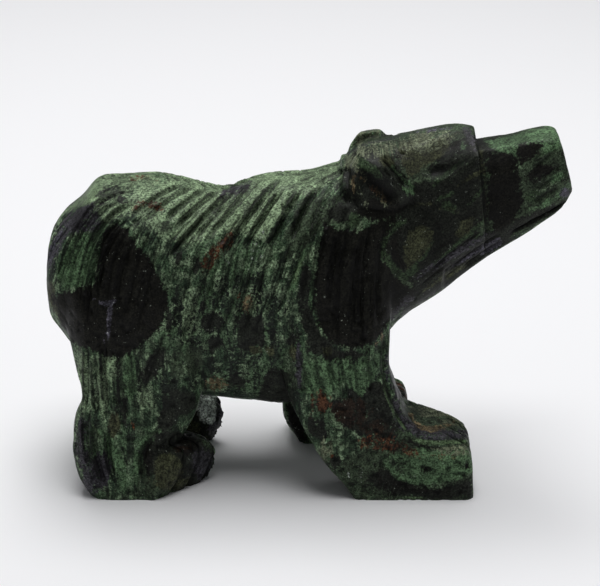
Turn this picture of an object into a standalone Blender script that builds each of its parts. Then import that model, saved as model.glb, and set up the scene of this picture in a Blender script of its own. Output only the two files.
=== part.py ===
"""A small walking bear carved from one piece of jasper, in metres, on Z = 0 and looking along +X."""

import bmesh
import bpy
import numpy as np
from mathutils import Matrix

# Overall sizes, in metres.
LENGTH = 0.0760
HEIGHT = 0.0528
BODY_WIDTH = 0.0262
HEAD_WIDTH = 0.0152
MUZZLE_WIDTH = 0.0104
EAR_SPAN = 0.0186

# Legs and feet, in metres.
STANCE_WIDTH = 0.0290
LEG_WIDTH = 0.0088
INSTEP_DROOP = 0.0013
FAR_TOE_REACH = 0.0007

# Tool cuts, in metres.
CUT_WIDTH = 0.0013
CUT_DEPTH = 0.00062
CUT_WANDER = 0.0004
TOE_WIDTH = 0.0012
TOE_DEPTH = 0.0009
SPINE_KEEP = 0.0022

# How finely the stone is worked out, in metres, rounds of smoothing, rings for each section, and triangles.
GRAIN = 0.00034
SOFTENINGS = 8
TORSO_STEPS = 4
OTHER_STEPS = 3
MOST_TRIANGLES = 9500
SEED = 7

STONE_COLOUR = (0.075, 0.105, 0.070, 1.0)
STONE_ROUGHNESS = 0.45

# Every section and cut below is in shares: X of LENGTH from the middle, Z of HEIGHT from the ground.
# Half a torso section runs down through these: (share of its half width, share of its height from the top).
TORSO_ROUND = [(0.00, 0.0), (0.58, 0.055), (0.97, 0.30), (0.99, 0.70), (0.62, 0.955), (0.00, 1.0)]

# A torso section is (x, bottom, top, share of half the body width).
TORSO = [
    (-0.509, 0.535, 0.640, 0.36),
    (-0.503, 0.472, 0.692, 0.60),
    (-0.481, 0.428, 0.741, 0.78),
    (-0.447, 0.366, 0.783, 0.89),
    (-0.404, 0.303, 0.842, 0.95),
    (-0.355, 0.260, 0.846, 0.99),
    (-0.300, 0.245, 0.850, 0.99),
    (-0.237, 0.240, 0.832, 0.95),
    (-0.171, 0.230, 0.813, 0.92),
    (-0.118, 0.222, 0.838, 0.92),
    (-0.066, 0.214, 0.853, 0.94),
    (-0.013, 0.226, 0.856, 0.96),
    (0.040, 0.250, 0.878, 0.95),
    (0.090, 0.285, 0.896, 0.89),
    (0.124, 0.341, 0.915, 0.81),
    (0.150, 0.424, 0.920, 0.74),
    (0.190, 0.482, 0.910, 0.68),
    (0.250, 0.538, 0.890, 0.58),
]

# A faceted section is (x, lean, then its half outline from the top down: share of half the width, z).
HEAD = [
    (0.055, 0.0, (0.00, 0.895), (0.50, 0.893), (1.02, 0.862), (1.16, 0.720), (0.62, 0.645), (0.00, 0.625)),
    (0.105, 0.0, (0.00, 0.945), (0.60, 0.938), (1.04, 0.880), (1.18, 0.690), (0.62, 0.560), (0.00, 0.540)),
    (0.150, 0.0, (0.00, 0.957), (0.62, 0.948), (1.03, 0.884), (1.16, 0.640), (0.62, 0.458), (0.00, 0.443)),
    (0.190, 0.0, (0.00, 0.973), (0.56, 0.961), (1.00, 0.878), (1.13, 0.630), (0.60, 0.491), (0.00, 0.476)),
    (0.237, 0.0, (0.00, 0.991), (0.42, 0.982), (0.98, 0.880), (1.08, 0.660), (0.56, 0.533), (0.00, 0.520)),
    (0.280, 0.0, (0.00, 0.999), (0.25, 0.995), (0.97, 0.926), (1.01, 0.698), (0.53, 0.582), (0.00, 0.570)),
    (0.307, 0.1, (0.00, 0.996), (0.18, 0.991), (0.95, 0.955), (0.96, 0.726), (0.50, 0.641), (0.00, 0.629)),
]
MUZZLE = [
    (0.290, 0.0, (0.00, 0.942), (0.60, 0.938), (1.00, 0.870), (1.04, 0.696), (0.66, 0.590), (0.00, 0.578)),
    (0.331, 0.0, (0.00, 0.953), (0.62, 0.949), (1.00, 0.886), (1.03, 0.718), (0.68, 0.638), (0.00, 0.626)),
    (0.381, 0.0, (0.00, 0.965), (0.66, 0.960), (0.98, 0.906), (1.00, 0.754), (0.68, 0.683), (0.00, 0.671)),
    (0.434, 0.0, (0.00, 0.984), (0.72, 0.977), (0.93, 0.936), (0.95, 0.804), (0.68, 0.736), (0.00, 0.724)),
    (0.457, 0.13, (0.00, 0.986), (0.70, 0.980), (0.88, 0.948), (0.90, 0.850), (0.64, 0.782), (0.00, 0.772)),
    (0.466, 0.28, (0.00, 0.980), (0.58, 0.974), (0.76, 0.940), (0.80, 0.874), (0.56, 0.829), (0.00, 0.823)),
]

# The ear is stacked outward: (share of half the ear span, share its outline is drawn in by).
EAR_OUTLINE = [
    (0.069, 0.780),
    (0.074, 0.910),
    (0.091, 0.948),
    (0.131, 0.956),
    (0.151, 0.928),
    (0.203, 0.838),
    (0.165, 0.770),
]
EAR_LAYERS = [(0.45, -0.10), (0.66, 0.00), (0.86, 0.16), (1.00, 0.42)]

# Each layer of the ear is lifted by this share of HEIGHT, times how far it is drawn in.
EAR_LIFT = 0.024

# The toes begin below this height, the cuts between them this much higher, and those of the hind feet are
# shallower. The instep droops between the first and last of four heights, and fully between the middle two.
TOE_TOP = 0.145
TOE_CUT_RISE = 1.3
HIND_TOE_SHARE = 0.5
DROOP_HEIGHTS = (0.04, 0.14, 0.24, 0.32)

# How crisp the corners of each section are: 1 is straight between them, 0 is a smooth curve through them.
HEAD_CRISP = 0.85
EAR_CRISP = 0.8
HIND_LEG_CRISP = 0.45
FORE_LEG_CRISP = 0.8

# A leg section is (z, back x, front x, outer and inner share of half the leg width, corner, toe corner).
HIND_LEG = [
    (0.758, -0.408, -0.280, 0.00, 0.6, 0.30, 0.30),
    (0.682, -0.450, -0.250, 0.42, 0.8, 0.32, 0.34),
    (0.587, -0.477, -0.226, 0.70, 0.9, 0.34, 0.36),
    (0.492, -0.466, -0.215, 0.82, 0.9, 0.34, 0.36),
    (0.398, -0.453, -0.210, 0.84, 0.9, 0.32, 0.34),
    (0.341, -0.446, -0.211, 0.82, 0.9, 0.31, 0.34),
    (0.312, -0.441, -0.212, 0.80, 0.9, 0.30, 0.34),
    (0.277, -0.440, -0.216, 0.78, 0.9, 0.30, 0.34),
    (0.231, -0.452, -0.226, 0.80, 0.9, 0.30, 0.34),
    (0.189, -0.458, -0.240, 0.84, 0.9, 0.28, 0.36),
    (0.155, -0.459, -0.252, 0.90, 0.9, 0.26, 0.40),
    (0.140, -0.461, -0.222, 0.93, 1.0, 0.24, 0.50),
    (0.125, -0.460, -0.201, 0.97, 1.0, 0.22, 0.62),
    (0.087, -0.456, -0.189, 1.00, 1.0, 0.20, 0.75),
    (0.045, -0.448, -0.193, 1.00, 1.0, 0.20, 0.80),
    (0.017, -0.437, -0.204, 0.99, 1.0, 0.22, 0.80),
    (-0.040, -0.415, -0.224, 0.95, 1.0, 0.25, 0.80),
]
NEAR_FORE_LEG = [
    (0.720, -0.040, 0.118, 0.00, 0.5, 0.30, 0.30),
    (0.625, -0.060, 0.142, 0.40, 0.7, 0.32, 0.32),
    (0.530, -0.066, 0.148, 0.66, 0.9, 0.30, 0.32),
    (0.455, -0.064, 0.146, 0.80, 0.9, 0.28, 0.30),
    (0.379, -0.058, 0.145, 0.87, 0.9, 0.22, 0.26),
    (0.322, -0.050, 0.157, 0.90, 1.0, 0.18, 0.20),
    (0.284, -0.040, 0.166, 0.92, 1.0, 0.16, 0.16),
    (0.252, -0.027, 0.180, 0.94, 1.0, 0.14, 0.14),
    (0.231, -0.018, 0.201, 0.96, 1.0, 0.12, 0.12),
    (0.208, -0.010, 0.247, 0.97, 1.0, 0.12, 0.12),
    (0.184, 0.000, 0.281, 0.98, 1.0, 0.10, 0.12),
    (0.162, 0.008, 0.300, 1.00, 1.0, 0.10, 0.12),
    (0.114, 0.027, 0.308, 1.00, 1.0, 0.10, 0.12),
    (0.040, 0.061, 0.310, 1.00, 1.0, 0.10, 0.12),
    (0.009, 0.075, 0.311, 1.00, 1.0, 0.10, 0.12),
    (-0.040, 0.097, 0.309, 1.00, 1.0, 0.12, 0.12),
]
FAR_FORE_LEG = [
    (0.720, -0.066, 0.092, 0.00, 0.5, 0.30, 0.30),
    (0.625, -0.086, 0.112, 0.40, 0.7, 0.32, 0.32),
    (0.530, -0.092, 0.122, 0.66, 0.9, 0.30, 0.32),
    (0.455, -0.092, 0.122, 0.80, 0.9, 0.28, 0.30),
    (0.379, -0.086, 0.118, 0.87, 0.9, 0.22, 0.26),
    (0.284, -0.070, 0.118, 0.92, 1.0, 0.16, 0.16),
    (0.208, -0.060, 0.130, 0.94, 1.0, 0.14, 0.14),
    (0.182, -0.058, 0.157, 0.96, 1.0, 0.12, 0.12),
    (0.157, -0.060, 0.190, 1.00, 1.0, 0.12, 0.12),
    (0.100, -0.059, 0.198, 1.00, 1.0, 0.12, 0.12),
    (0.049, -0.048, 0.197, 1.00, 1.0, 0.12, 0.12),
    (0.009, -0.029, 0.197, 1.00, 1.0, 0.12, 0.12),
    (-0.040, -0.014, 0.195, 1.00, 1.0, 0.12, 0.12),
]

# Cuts are drawn on the animal as seen from its side and a little from above.
LOOK_DOWN = 0.364

# A cut is its start, middle and end. A bundle is (first cut, last cut, how many, width share, depth share).
FLANK = [
    (((-0.223, 0.850), (-0.290, 0.795), (-0.352, 0.712)),
     ((-0.113, 0.845), (-0.180, 0.725), (-0.246, 0.596)), 6, 1.0, 1.0),
    (((-0.091, 0.845), (-0.152, 0.735), (-0.215, 0.604)),
     ((0.012, 0.830), (-0.024, 0.730), (-0.050, 0.610)), 5, 1.0, 1.1),
    (((-0.208, 0.640), (-0.238, 0.505), (-0.272, 0.360)),
     ((-0.121, 0.676), (-0.137, 0.545), (-0.179, 0.389)), 5, 0.9, 0.6),
    (((-0.102, 0.666), (-0.120, 0.545), (-0.150, 0.400)),
     ((-0.012, 0.689), (-0.043, 0.560), (-0.083, 0.418)), 4, 0.9, 0.6),
]
SHOULDER = [
    (((0.016, 0.728), (-0.010, 0.575), (-0.024, 0.404)),
     ((0.132, 0.700), (0.120, 0.530), (0.125, 0.375)), 7, 0.9, 0.8),
    (((0.071, 0.878), (0.036, 0.849), (0.005, 0.805)),
     ((0.054, 0.898), (0.007, 0.872), (-0.041, 0.834)), 2, 1.0, 0.9),
    (((0.039, 0.852), (0.016, 0.772), (-0.003, 0.689)),
     ((0.066, 0.767), (0.050, 0.692), (0.043, 0.602)), 3, 0.9, 0.6),
]
RUMP = [
    (((-0.337, 0.811), (-0.425, 0.735), (-0.478, 0.530)),
     ((-0.345, 0.718), (-0.395, 0.595), (-0.407, 0.389)), 5, 1.1, 1.2),
    (((-0.335, 0.705), (-0.375, 0.580), (-0.385, 0.389)),
     ((-0.288, 0.666), (-0.311, 0.530), (-0.337, 0.360)), 4, 0.9, 0.6),
    (((-0.345, 0.832), (-0.390, 0.812), (-0.428, 0.770)),
     ((-0.300, 0.850), (-0.350, 0.850), (-0.395, 0.832)), 2, 1.0, 0.8),
]
LEGS = [
    (((-0.428, 0.360), (-0.434, 0.250), (-0.438, 0.165)),
     ((-0.365, 0.360), (-0.365, 0.225), (-0.345, 0.084)), 4, 0.9, 0.8),
    (((-0.345, 0.375), (-0.345, 0.260), (-0.338, 0.150)),
     ((-0.280, 0.404), (-0.312, 0.280), (-0.333, 0.186)), 3, 0.9, 0.5),
    (((-0.436, 0.142), (-0.434, 0.050), (-0.409, -0.067)),
     ((-0.384, 0.113), (-0.381, 0.010), (-0.364, -0.076)), 3, 1.0, 1.0),
    (((-0.022, 0.360), (-0.014, 0.285), (0.009, 0.206)),
     ((0.105, 0.360), (0.110, 0.273), (0.118, 0.186)), 6, 0.9, 0.6),
]
FACE = [
    (((0.362, 0.657), (0.314, 0.609), (0.259, 0.546)),
     ((0.341, 0.706), (0.265, 0.619), (0.191, 0.526)), 3, 0.8, 0.5),
    (((0.457, 0.921), (0.435, 0.896), (0.413, 0.869)),
     ((0.479, 0.823), (0.449, 0.797), (0.415, 0.767)), 4, 0.8, 0.3),
]

# A lone cut is (cut, width share, depth share).
SHIN_EDGE = (((0.138, 0.389), (0.143, 0.245), (0.183, 0.107)), 0.8, 0.7)
ANKLE = (((-0.304, 0.090), (-0.322, 0.035), (-0.320, -0.040)), 1.1, 1.0)
MOUTH = (((0.495, 0.786), (0.440, 0.737), (0.377, 0.686)), 0.7, 1.4)
EAR_REAR = (((0.068, 0.880), (0.064, 0.820), (0.069, 0.764)), 1.0, 0.9)
EAR_HOLLOW = (((0.096, 0.862), (0.120, 0.822), (0.152, 0.772)), 3.2, 1.1)
EAR_FRONT = (((0.130, 0.898), (0.157, 0.858), (0.180, 0.811)), 0.9, 0.9)
BROW_SCOOP = (((0.215, 0.860), (0.255, 0.865), (0.300, 0.905)), 2.0, 0.4)
EYE_PIT = (((0.158, 0.922), (0.163, 0.916), (0.169, 0.910)), 0.9, 0.6)
LONE_CUTS = [SHIN_EDGE, ANKLE, MOUTH, EAR_REAR, EAR_HOLLOW, EAR_FRONT, BROW_SCOOP, EYE_PIT]
BUNDLES = FLANK + SHOULDER + RUMP + LEGS + FACE + [(cut, cut, 1, *sizes) for cut, *sizes in LONE_CUTS]

# Cuts drawn as seen from the end: (facing, lowest z, highest z, share of the width, how many, depth share).
END_CUTS = [(-1, 0.36, 0.76, 0.62, 8, 0.9), (1, 0.34, 0.52, 0.45, 6, 0.7)]
END_CUT_SPREAD = 0.8
TOES = 4

# Each kind of cut grows from nothing to its full depth as the stone turns to face the carver by this much.
SIDE_FACING = (0.0, 0.35)
END_FACING = (0.5, 0.8)
TOE_FACING = (0.2, 0.5)

# The ends of a cut rise over this share of its length, and start at this share of its depth.
CUT_TAPER = 0.16
CUT_END = 0.15


def clear_scene():
    for obj in list(bpy.data.objects):
        bpy.data.objects.remove(obj, do_unlink=True)


def collection_named(name):
    made = bpy.data.collections.new(name)
    bpy.context.scene.collection.children.link(made)
    return made


def full_where(facing, limits):
    """A share from 0 to 1 that grows as the stone's facing goes from the first limit to the second."""
    return np.clip((facing - limits[0]) / (limits[1] - limits[0]), 0, 1)


def ring_through(corners, crisp):
    """Points round a closed outline, four for each corner, as crisp as asked for."""
    here = np.array(corners, float)
    before, after, beyond = (np.roll(here, step, axis=0) for step in (1, -1, -2))
    points = []
    for t in (0.0, 0.25, 0.5, 0.75):
        straight = here + (after - here) * t
        curve = 0.5 * (
            2 * here
            + (after - before) * t
            + (2 * before - 5 * here + 4 * after - beyond) * t**2
            + (3 * here - before - 3 * after + beyond) * t**3
        )
        points.append(crisp * straight + (1 - crisp) * curve)
    return np.stack(points, axis=1).reshape(-1, here.shape[1])


def slopes(along, values):
    """Tangents that never overshoot the stations, so that a bulge stays where its station is."""
    step = np.diff(along)[:, None, None]
    rise = np.diff(values, axis=0) / step
    tangent = np.zeros_like(values)
    tangent[0], tangent[-1] = rise[0], rise[-1]
    same = rise[:-1] * rise[1:] > 0
    total = np.where(same, rise[:-1] + rise[1:], 1.0)
    tangent[1:-1] = np.where(same, 2 * rise[:-1] * rise[1:] / total, 0.0)
    return tangent


def refine(rings, steps):
    """More rings between the given ones, along smooth curves through them."""
    rings = np.array(rings, float)
    middles = rings.mean(axis=1)
    reach = np.linalg.norm(rings - middles[:, None], axis=2).mean(axis=1)
    gaps = np.linalg.norm(np.diff(middles, axis=0), axis=1) + abs(np.diff(reach))
    along = np.concatenate([[0.0], np.cumsum(gaps)])
    tangent = slopes(along, rings)
    made = []
    for index, gap in enumerate(gaps):
        for part in range(steps):
            t = part / steps
            made.append(
                rings[index] * (2 * t**3 - 3 * t**2 + 1)
                + tangent[index] * gap * (t**3 - 2 * t**2 + t)
                + rings[index + 1] * (3 * t**2 - 2 * t**3)
                + tangent[index + 1] * gap * (t**3 - t**2)
            )
    made.append(rings[-1])
    return made


def loft(shape, rings):
    """Adds one closed body to the bmesh: a skin over the rings and a flat cap at each end."""
    loops = [[shape.verts.new(point) for point in ring] for ring in rings]
    count = len(loops[0])
    for first, second in zip(loops, loops[1:]):
        for index in range(count):
            after = (index + 1) % count
            shape.faces.new((first[index], first[after], second[after], second[index]))
    shape.faces.new(list(reversed(loops[0])))
    shape.faces.new(loops[-1])


def mirrored(half, x, lean, high):
    """The whole outline of a section from its half outline, leaning forward below its top."""
    other = [(-y, z) for y, z in reversed(half[1:-1])]
    return [(x + lean * (high - z), y, z) for y, z in half + other]


def torso_rings():
    rings = []
    for x, bottom, top, width in TORSO:
        low, high = bottom * HEIGHT, top * HEIGHT
        tall, wide = high - low, width * BODY_WIDTH / 2
        half = [(share * wide, high - down * tall) for share, down in TORSO_ROUND]
        rings.append(ring_through(mirrored(half, x * LENGTH, 0.0, high), 0.0))
    return refine(rings, TORSO_STEPS)


def faceted_rings(sections, width):
    rings = []
    for x, lean, *half in sections:
        outline = [(y * width / 2, z * HEIGHT) for y, z in half]
        rings.append(ring_through(mirrored(outline, x * LENGTH, lean, outline[0][1]), HEAD_CRISP))
    return refine(rings, OTHER_STEPS)


def leg_rings(sections, side, crisp, droop, reach):
    """Level sections of one leg, side -1 for the right and 1 for the left. The instep droops outward."""
    middle = (STANCE_WIDTH - LEG_WIDTH) / 2
    rings = []
    for z, back, front, outer, inner, corner, toe in sections:
        back, front = back * LENGTH, front * LENGTH + reach * (z < TOE_TOP)
        out = middle + LEG_WIDTH / 2 * outer
        inside = middle - LEG_WIDTH / 2 * inner
        cut, toe_cut = corner * LEG_WIDTH, toe * LEG_WIDTH
        half_way = (back + front) / 2
        outline = [
            (half_way, inside),
            (front - cut, inside),
            (front, inside + cut),
            (front, max(out - toe_cut, inside + cut)),
            (front - toe_cut, out),
            (half_way, out),
            (back + cut, out),
            (back, out - cut),
            (back, inside + cut),
            (back + cut, inside),
        ]
        fall = droop * np.interp(z, DROOP_HEIGHTS, (0, 1, 1, 0))
        corners = [(x, side * y, z * HEIGHT - fall * (y - inside) / LEG_WIDTH) for x, y in outline]
        rings.append(ring_through(corners, crisp))
    return refine(rings, OTHER_STEPS)


def ear_rings(side):
    """One laid-back ear, stacked outward from inside the head."""
    outline = np.array(EAR_OUTLINE) * (LENGTH, HEIGHT)
    centre = outline.mean(axis=0)
    rings = []
    for share, drawn_in in EAR_LAYERS:
        flat = centre + (outline - centre) * (1 - drawn_in)
        flat[:, 1] += drawn_in * EAR_LIFT * HEIGHT
        ring = [(x, side * share * EAR_SPAN / 2, z) for x, z in flat]
        rings.append(ring_through(ring, EAR_CRISP))
    return refine(rings, OTHER_STEPS)


def rough_bear():
    """All the masses of the animal, still overlapping, as one mesh."""
    shape = bmesh.new()
    loft(shape, torso_rings())
    loft(shape, faceted_rings(HEAD, HEAD_WIDTH))
    loft(shape, faceted_rings(MUZZLE, MUZZLE_WIDTH))
    for side, fore_leg in ((-1, NEAR_FORE_LEG), (1, FAR_FORE_LEG)):
        loft(shape, leg_rings(HIND_LEG, side, HIND_LEG_CRISP, 0.0, FAR_TOE_REACH * (side > 0)))
        loft(shape, leg_rings(fore_leg, side, FORE_LEG_CRISP, INSTEP_DROOP, 0.0))
        loft(shape, ear_rings(side))
    bmesh.ops.recalc_face_normals(shape, faces=shape.faces)
    mesh = bpy.data.meshes.new("bear")
    shape.to_mesh(mesh)
    shape.free()
    return mesh


def apply_modifiers(bear):
    """Replaces the mesh by what its modifiers make of it."""
    graph = bpy.context.evaluated_depsgraph_get()
    worked = bpy.data.meshes.new_from_object(bear.evaluated_get(graph))
    bear.modifiers.clear()
    bear.data = worked


def one_stone(bear):
    """Joins the overlapping masses into one skin of even, fine faces and softens it a little."""
    remesh = bear.modifiers.new("one stone", "REMESH")
    remesh.mode = "VOXEL"
    remesh.voxel_size = GRAIN
    soften = bear.modifiers.new("soften", "SMOOTH")
    soften.factor = 0.5
    soften.iterations = SOFTENINGS
    apply_modifiers(bear)


def cuts_of(bundle, wander):
    """The cuts of a bundle: curves spread evenly from its first to its last one, each a little astray."""
    first, last, count, width, depth = bundle
    t = np.linspace(0, 1, 9)[:, None]
    for index in range(count):
        share = index / max(count - 1, 1)
        start, middle, end = np.array(first) * (1 - share) + np.array(last) * share
        bend = 2 * middle - (start + end) / 2
        curve = (1 - t) ** 2 * start + 2 * t * (1 - t) * bend + t**2 * end
        astray = wander.uniform(-1, 1, 2) * CUT_WANDER * (count > 1)
        yield curve * (LENGTH, HEIGHT) + astray, width * CUT_WIDTH / 2, depth * CUT_DEPTH


def carve_cut(place, line, half_width, depth):
    """How deep one cut goes at each place of the drawing, with tapering ends."""
    low, high = line.min(axis=0) - half_width, line.max(axis=0) + half_width
    near = np.nonzero(((place > low) & (place < high)).all(axis=1))[0]
    found = np.zeros(len(place))
    pieces = len(line) - 1
    for index in range(pieces):
        start, run = line[index], line[index + 1] - line[index]
        t = np.clip((place[near] - start) @ run / (run @ run), 0, 1)
        away = np.linalg.norm(place[near] - start - t[:, None] * run, axis=1)
        along = (index + t) / pieces
        taper = np.clip(np.minimum(along, 1 - along) / CUT_TAPER + CUT_END, 0, 1)
        here = depth * taper * np.clip(1 - (away / half_width) ** 2, 0, 1)
        found[near] = np.maximum(found[near], here)
    return found


def end_cuts():
    """Upright cuts down the rump and the chest, drawn as (y, z) and facing back or forward."""
    for facing, low, high, share, count, depth in END_CUTS:
        for y in np.linspace(-share, share, count) * BODY_WIDTH / 2:
            line = np.linspace((y * END_CUT_SPREAD, high * HEIGHT), (y, low * HEIGHT), 4)
            yield facing, line, CUT_WIDTH / 2, depth * CUT_DEPTH


def toe_cuts():
    """Cuts between the toes, drawn as (y, z) on the front of each foot."""
    for side in (-1, 1):
        for toe in range(1, TOES):
            y = side * (STANCE_WIDTH / 2 - LEG_WIDTH * toe / TOES)
            line = np.linspace((y, TOE_CUT_RISE * TOE_TOP * HEIGHT), (y, -TOE_TOP * HEIGHT), 4)
            yield line, TOE_WIDTH / 2, TOE_DEPTH


def carve(bear):
    """Sinks every cut into the stone, along the surface normal."""
    mesh = bear.data
    count = len(mesh.vertices)
    place, normal = np.empty(count * 3), np.empty(count * 3)
    mesh.vertices.foreach_get("co", place)
    mesh.vertices.foreach_get("normal", normal)
    place, normal = place.reshape(-1, 3), normal.reshape(-1, 3)
    drawing = np.stack([place[:, 0], place[:, 2] - LOOK_DOWN * abs(place[:, 1])], axis=1)
    depth = np.zeros(count)
    for side in (-1, 1):
        facing = side * normal[:, 1] + LOOK_DOWN * normal[:, 2]
        shown = full_where(facing, SIDE_FACING) * np.clip(place[:, 1] * side / SPINE_KEEP, 0, 1)
        wander = np.random.default_rng(SEED + side)
        for bundle in BUNDLES:
            for line, half_width, deep in cuts_of(bundle, wander):
                depth = np.maximum(depth, shown * carve_cut(drawing, line, half_width, deep))
    end_drawing = place[:, 1:]
    for facing, line, half_width, deep in end_cuts():
        shown = full_where(facing * normal[:, 0], END_FACING)
        depth = np.maximum(depth, shown * carve_cut(end_drawing, line, half_width, deep))
    toes = full_where(normal[:, 0], TOE_FACING) * np.where(place[:, 0] < 0, HIND_TOE_SHARE, 1.0)
    for line, half_width, deep in toe_cuts():
        depth = np.maximum(depth, toes * carve_cut(end_drawing, line, half_width, deep))
    place -= normal * depth[:, None]
    mesh.vertices.foreach_set("co", place.ravel())
    mesh.update()


def thin_out(bear):
    """Fewer, larger triangles, fine only where the carving needs them."""
    bear.data.calc_loop_triangles()
    thin = bear.modifiers.new("thin out", "DECIMATE")
    thin.ratio = MOST_TRIANGLES / len(bear.data.loop_triangles)
    apply_modifiers(bear)


def flatten_soles(bear):
    """Cuts the feet off level with the ground and closes each sole with one flat face."""
    shape = bmesh.new()
    shape.from_mesh(bear.data)
    everything = shape.verts[:] + shape.edges[:] + shape.faces[:]
    bmesh.ops.bisect_plane(
        shape, geom=everything, dist=1e-6, plane_co=(0, 0, 0), plane_no=(0, 0, -1), clear_outer=True
    )
    rims = [edge for edge in shape.edges if edge.is_boundary]
    bmesh.ops.holes_fill(shape, edges=rims)
    bmesh.ops.remove_doubles(shape, verts=shape.verts, dist=2e-6)
    bmesh.ops.triangulate(shape, faces=shape.faces)
    shape.to_mesh(bear.data)
    shape.free()


def centre(bear):
    """Moves the stone so that the middle of its length and width is over the origin."""
    corners = np.array([corner[:] for corner in bear.bound_box])
    middle = (corners.min(axis=0) + corners.max(axis=0)) / 2
    bear.data.transform(Matrix.Translation((-middle[0], -middle[1], 0.0)))


def stone_material():
    stone = bpy.data.materials.new("jasper")
    stone.use_nodes = True
    shader = stone.node_tree.nodes["Principled BSDF"]
    shader.inputs["Base Color"].default_value = STONE_COLOUR
    shader.inputs["Roughness"].default_value = STONE_ROUGHNESS
    shader.inputs["Metallic"].default_value = 0.0
    return stone


def make_bear():
    clear_scene()
    bear = bpy.data.objects.new("bear", rough_bear())
    collection_named("jasper_bear").objects.link(bear)
    bpy.context.view_layer.update()
    one_stone(bear)
    carve(bear)
    thin_out(bear)
    flatten_soles(bear)
    centre(bear)
    bear.data.materials.clear()
    bear.data.materials.append(stone_material())


make_bear()
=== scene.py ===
"""The jasper bear carving as it looks: finely cut and mottled stone on a pale floor. Metres, +Z up."""

import math

import bmesh
import bpy
import numpy as np
from mathutils import Matrix, Vector, noise


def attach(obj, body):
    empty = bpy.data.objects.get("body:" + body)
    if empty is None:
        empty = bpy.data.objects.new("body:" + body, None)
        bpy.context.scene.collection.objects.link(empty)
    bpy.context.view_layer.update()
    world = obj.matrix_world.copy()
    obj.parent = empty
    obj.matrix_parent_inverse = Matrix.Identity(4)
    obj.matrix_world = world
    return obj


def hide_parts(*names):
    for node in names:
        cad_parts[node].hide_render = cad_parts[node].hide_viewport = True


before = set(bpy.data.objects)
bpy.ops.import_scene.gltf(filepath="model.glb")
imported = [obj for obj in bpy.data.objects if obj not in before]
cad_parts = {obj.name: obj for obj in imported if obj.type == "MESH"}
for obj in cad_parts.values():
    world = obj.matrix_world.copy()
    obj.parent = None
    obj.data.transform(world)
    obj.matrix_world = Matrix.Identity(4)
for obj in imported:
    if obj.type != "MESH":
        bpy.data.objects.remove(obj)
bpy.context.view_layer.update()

# Overall sizes, in metres.
LENGTH = 0.0760
HEIGHT = 0.0528
BODY_WIDTH = 0.0262
HEAD_WIDTH = 0.0152
MUZZLE_WIDTH = 0.0104
EAR_SPAN = 0.0186

# Legs and feet, in metres.
STANCE_WIDTH = 0.0290
LEG_WIDTH = 0.0088
INSTEP_DROOP = 0.0013
FAR_TOE_REACH = 0.0007

# Tool cuts, in metres.
CUT_WIDTH = 0.0013
CUT_DEPTH = 0.00062
CUT_WANDER = 0.0004
TOE_WIDTH = 0.0012
TOE_DEPTH = 0.0009

# How finely the stone is worked out: in metres, rounds of smoothing, rings for each section, and triangles.
GRAIN = 0.00021
SOFTENINGS = 11
SOFTENING = 0.5
TORSO_STEPS = 4
OTHER_STEPS = 3
MOST_TRIANGLES = 190000
SEED = 7
WHIM_SEED = 17

# How far each cut strays from an even one, in shares of its width and depth, and the strays' size in metres.
CUT_SHARPNESS = 1.35
CUT_NARROWING = 0.80
CUT_FRAY = 0.45
CUT_FADING = 0.50
FRAY_SIZE = 0.0011
FADING_SIZE = 0.0060
SPINE_KEEP = 0.0022
CUT_WIDTHS = (0.75, 1.1)
CUT_DEPTHS = (0.7, 1.2)

# How many points a cut is drawn with. It loses fewer than CUT_LOST of them at its start and at its end.
CUT_POINTS = 9
CUT_LOST = (2, 3)
END_CUT_POINTS = 4

# Scratches: how many for each cut, their length, width and depth, and how far over a bundle, in shares.
SCRATCHES = 1.6
SCRATCH_LENGTH = 0.34
SCRATCH_SIZE = (0.50, 0.42)
SCRATCH_SPREAD = (-0.05, 1.05)
SCRATCH_POINTS = 5

# Marks of the hand and the tool between the cuts: depths and sizes in metres. Pits and chips grow as their
# noise passes from the first value to the second, and pits get fewer between the two shares of HEIGHT.
UNEVEN_DEPTH = 0.00008
UNEVEN_SIZE = 0.0030
STROKE_DEPTH = 0.00002
STROKE_WIDTH = 0.00055
STROKE_LENGTH = 0.0045
PIT_DEPTH = 0.00016
PIT_SIZE = 0.0010
PIT_NOISE = (0.15, 0.60)
RAW_LOW = 1.2
RAW_HEIGHTS = (0.25, 0.60)
CHIP_DEPTH = 0.00026
CHIP_SIZE = 0.0015
CHIP_NOISE = (0.10, 0.50)
CHIP_BULGE = (0.000015, 0.00006)
CONVEXITY_REACH = 3
# How far a point stands out or sinks in when its ridge is lightened in full for wear and a painted
# highlight, or its hollow darkened in full with painted shade.
WEAR_AND_SHADE_HEIGHT = 0.00006

# The fur leans back by this much from the belly to the spine. The veins of the head follow the jaw, and
# those of the fore feet lie level. Where each begins is in shares of HEIGHT and of LENGTH.
FUR_SWEEP = 0.0100
FUR_FOOT = 0.4
FUR_RISE = 0.45
HEAD_LOW = (0.40, 0.55)
HEAD_BACK = (0.10, 0.22)
JAW_SLOPE = math.radians(34)
FOOT_TOP = (0.14, 0.24)
FOOT_BACK = (0.12, 0.18)

# How far the marks of the stone stray from their outlines, in pixels. Then, in metres, the size of strays,
# where the left side's pattern takes over, and how far apart the strays across and down are looked up.
MARK_WANDER = 1.2
MARK_WANDER_SIZE = 0.0022
FAR_BLEND = (0.0020, 0.0040)
NOISE_APART = 0.1

# How many steps a vein is drawn in, and how wide its ends are, in shares of its middle.
VEIN_STEPS = 40
VEIN_END = 0.45

# How far out of a mark counts as far: in pixels while it is looked for, in millimetres when it is kept.
FAR_AWAY = 1e3
LEAST_FIELD = -2.0

# What counts as level with the ground, in metres, and the millimetres of a metre.
LEVEL = 1e-6
MILLIMETRES = 1000

# Every section and cut below is in thousandths: X of LENGTH from the middle, Z of HEIGHT from the ground.
# Half a torso section runs down through these: (share of its half width, share of its height from the top).
TORSO_ROUND = [(0, 0), (580, 55), (970, 300), (990, 700), (620, 955), (0, 1000)]

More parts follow.
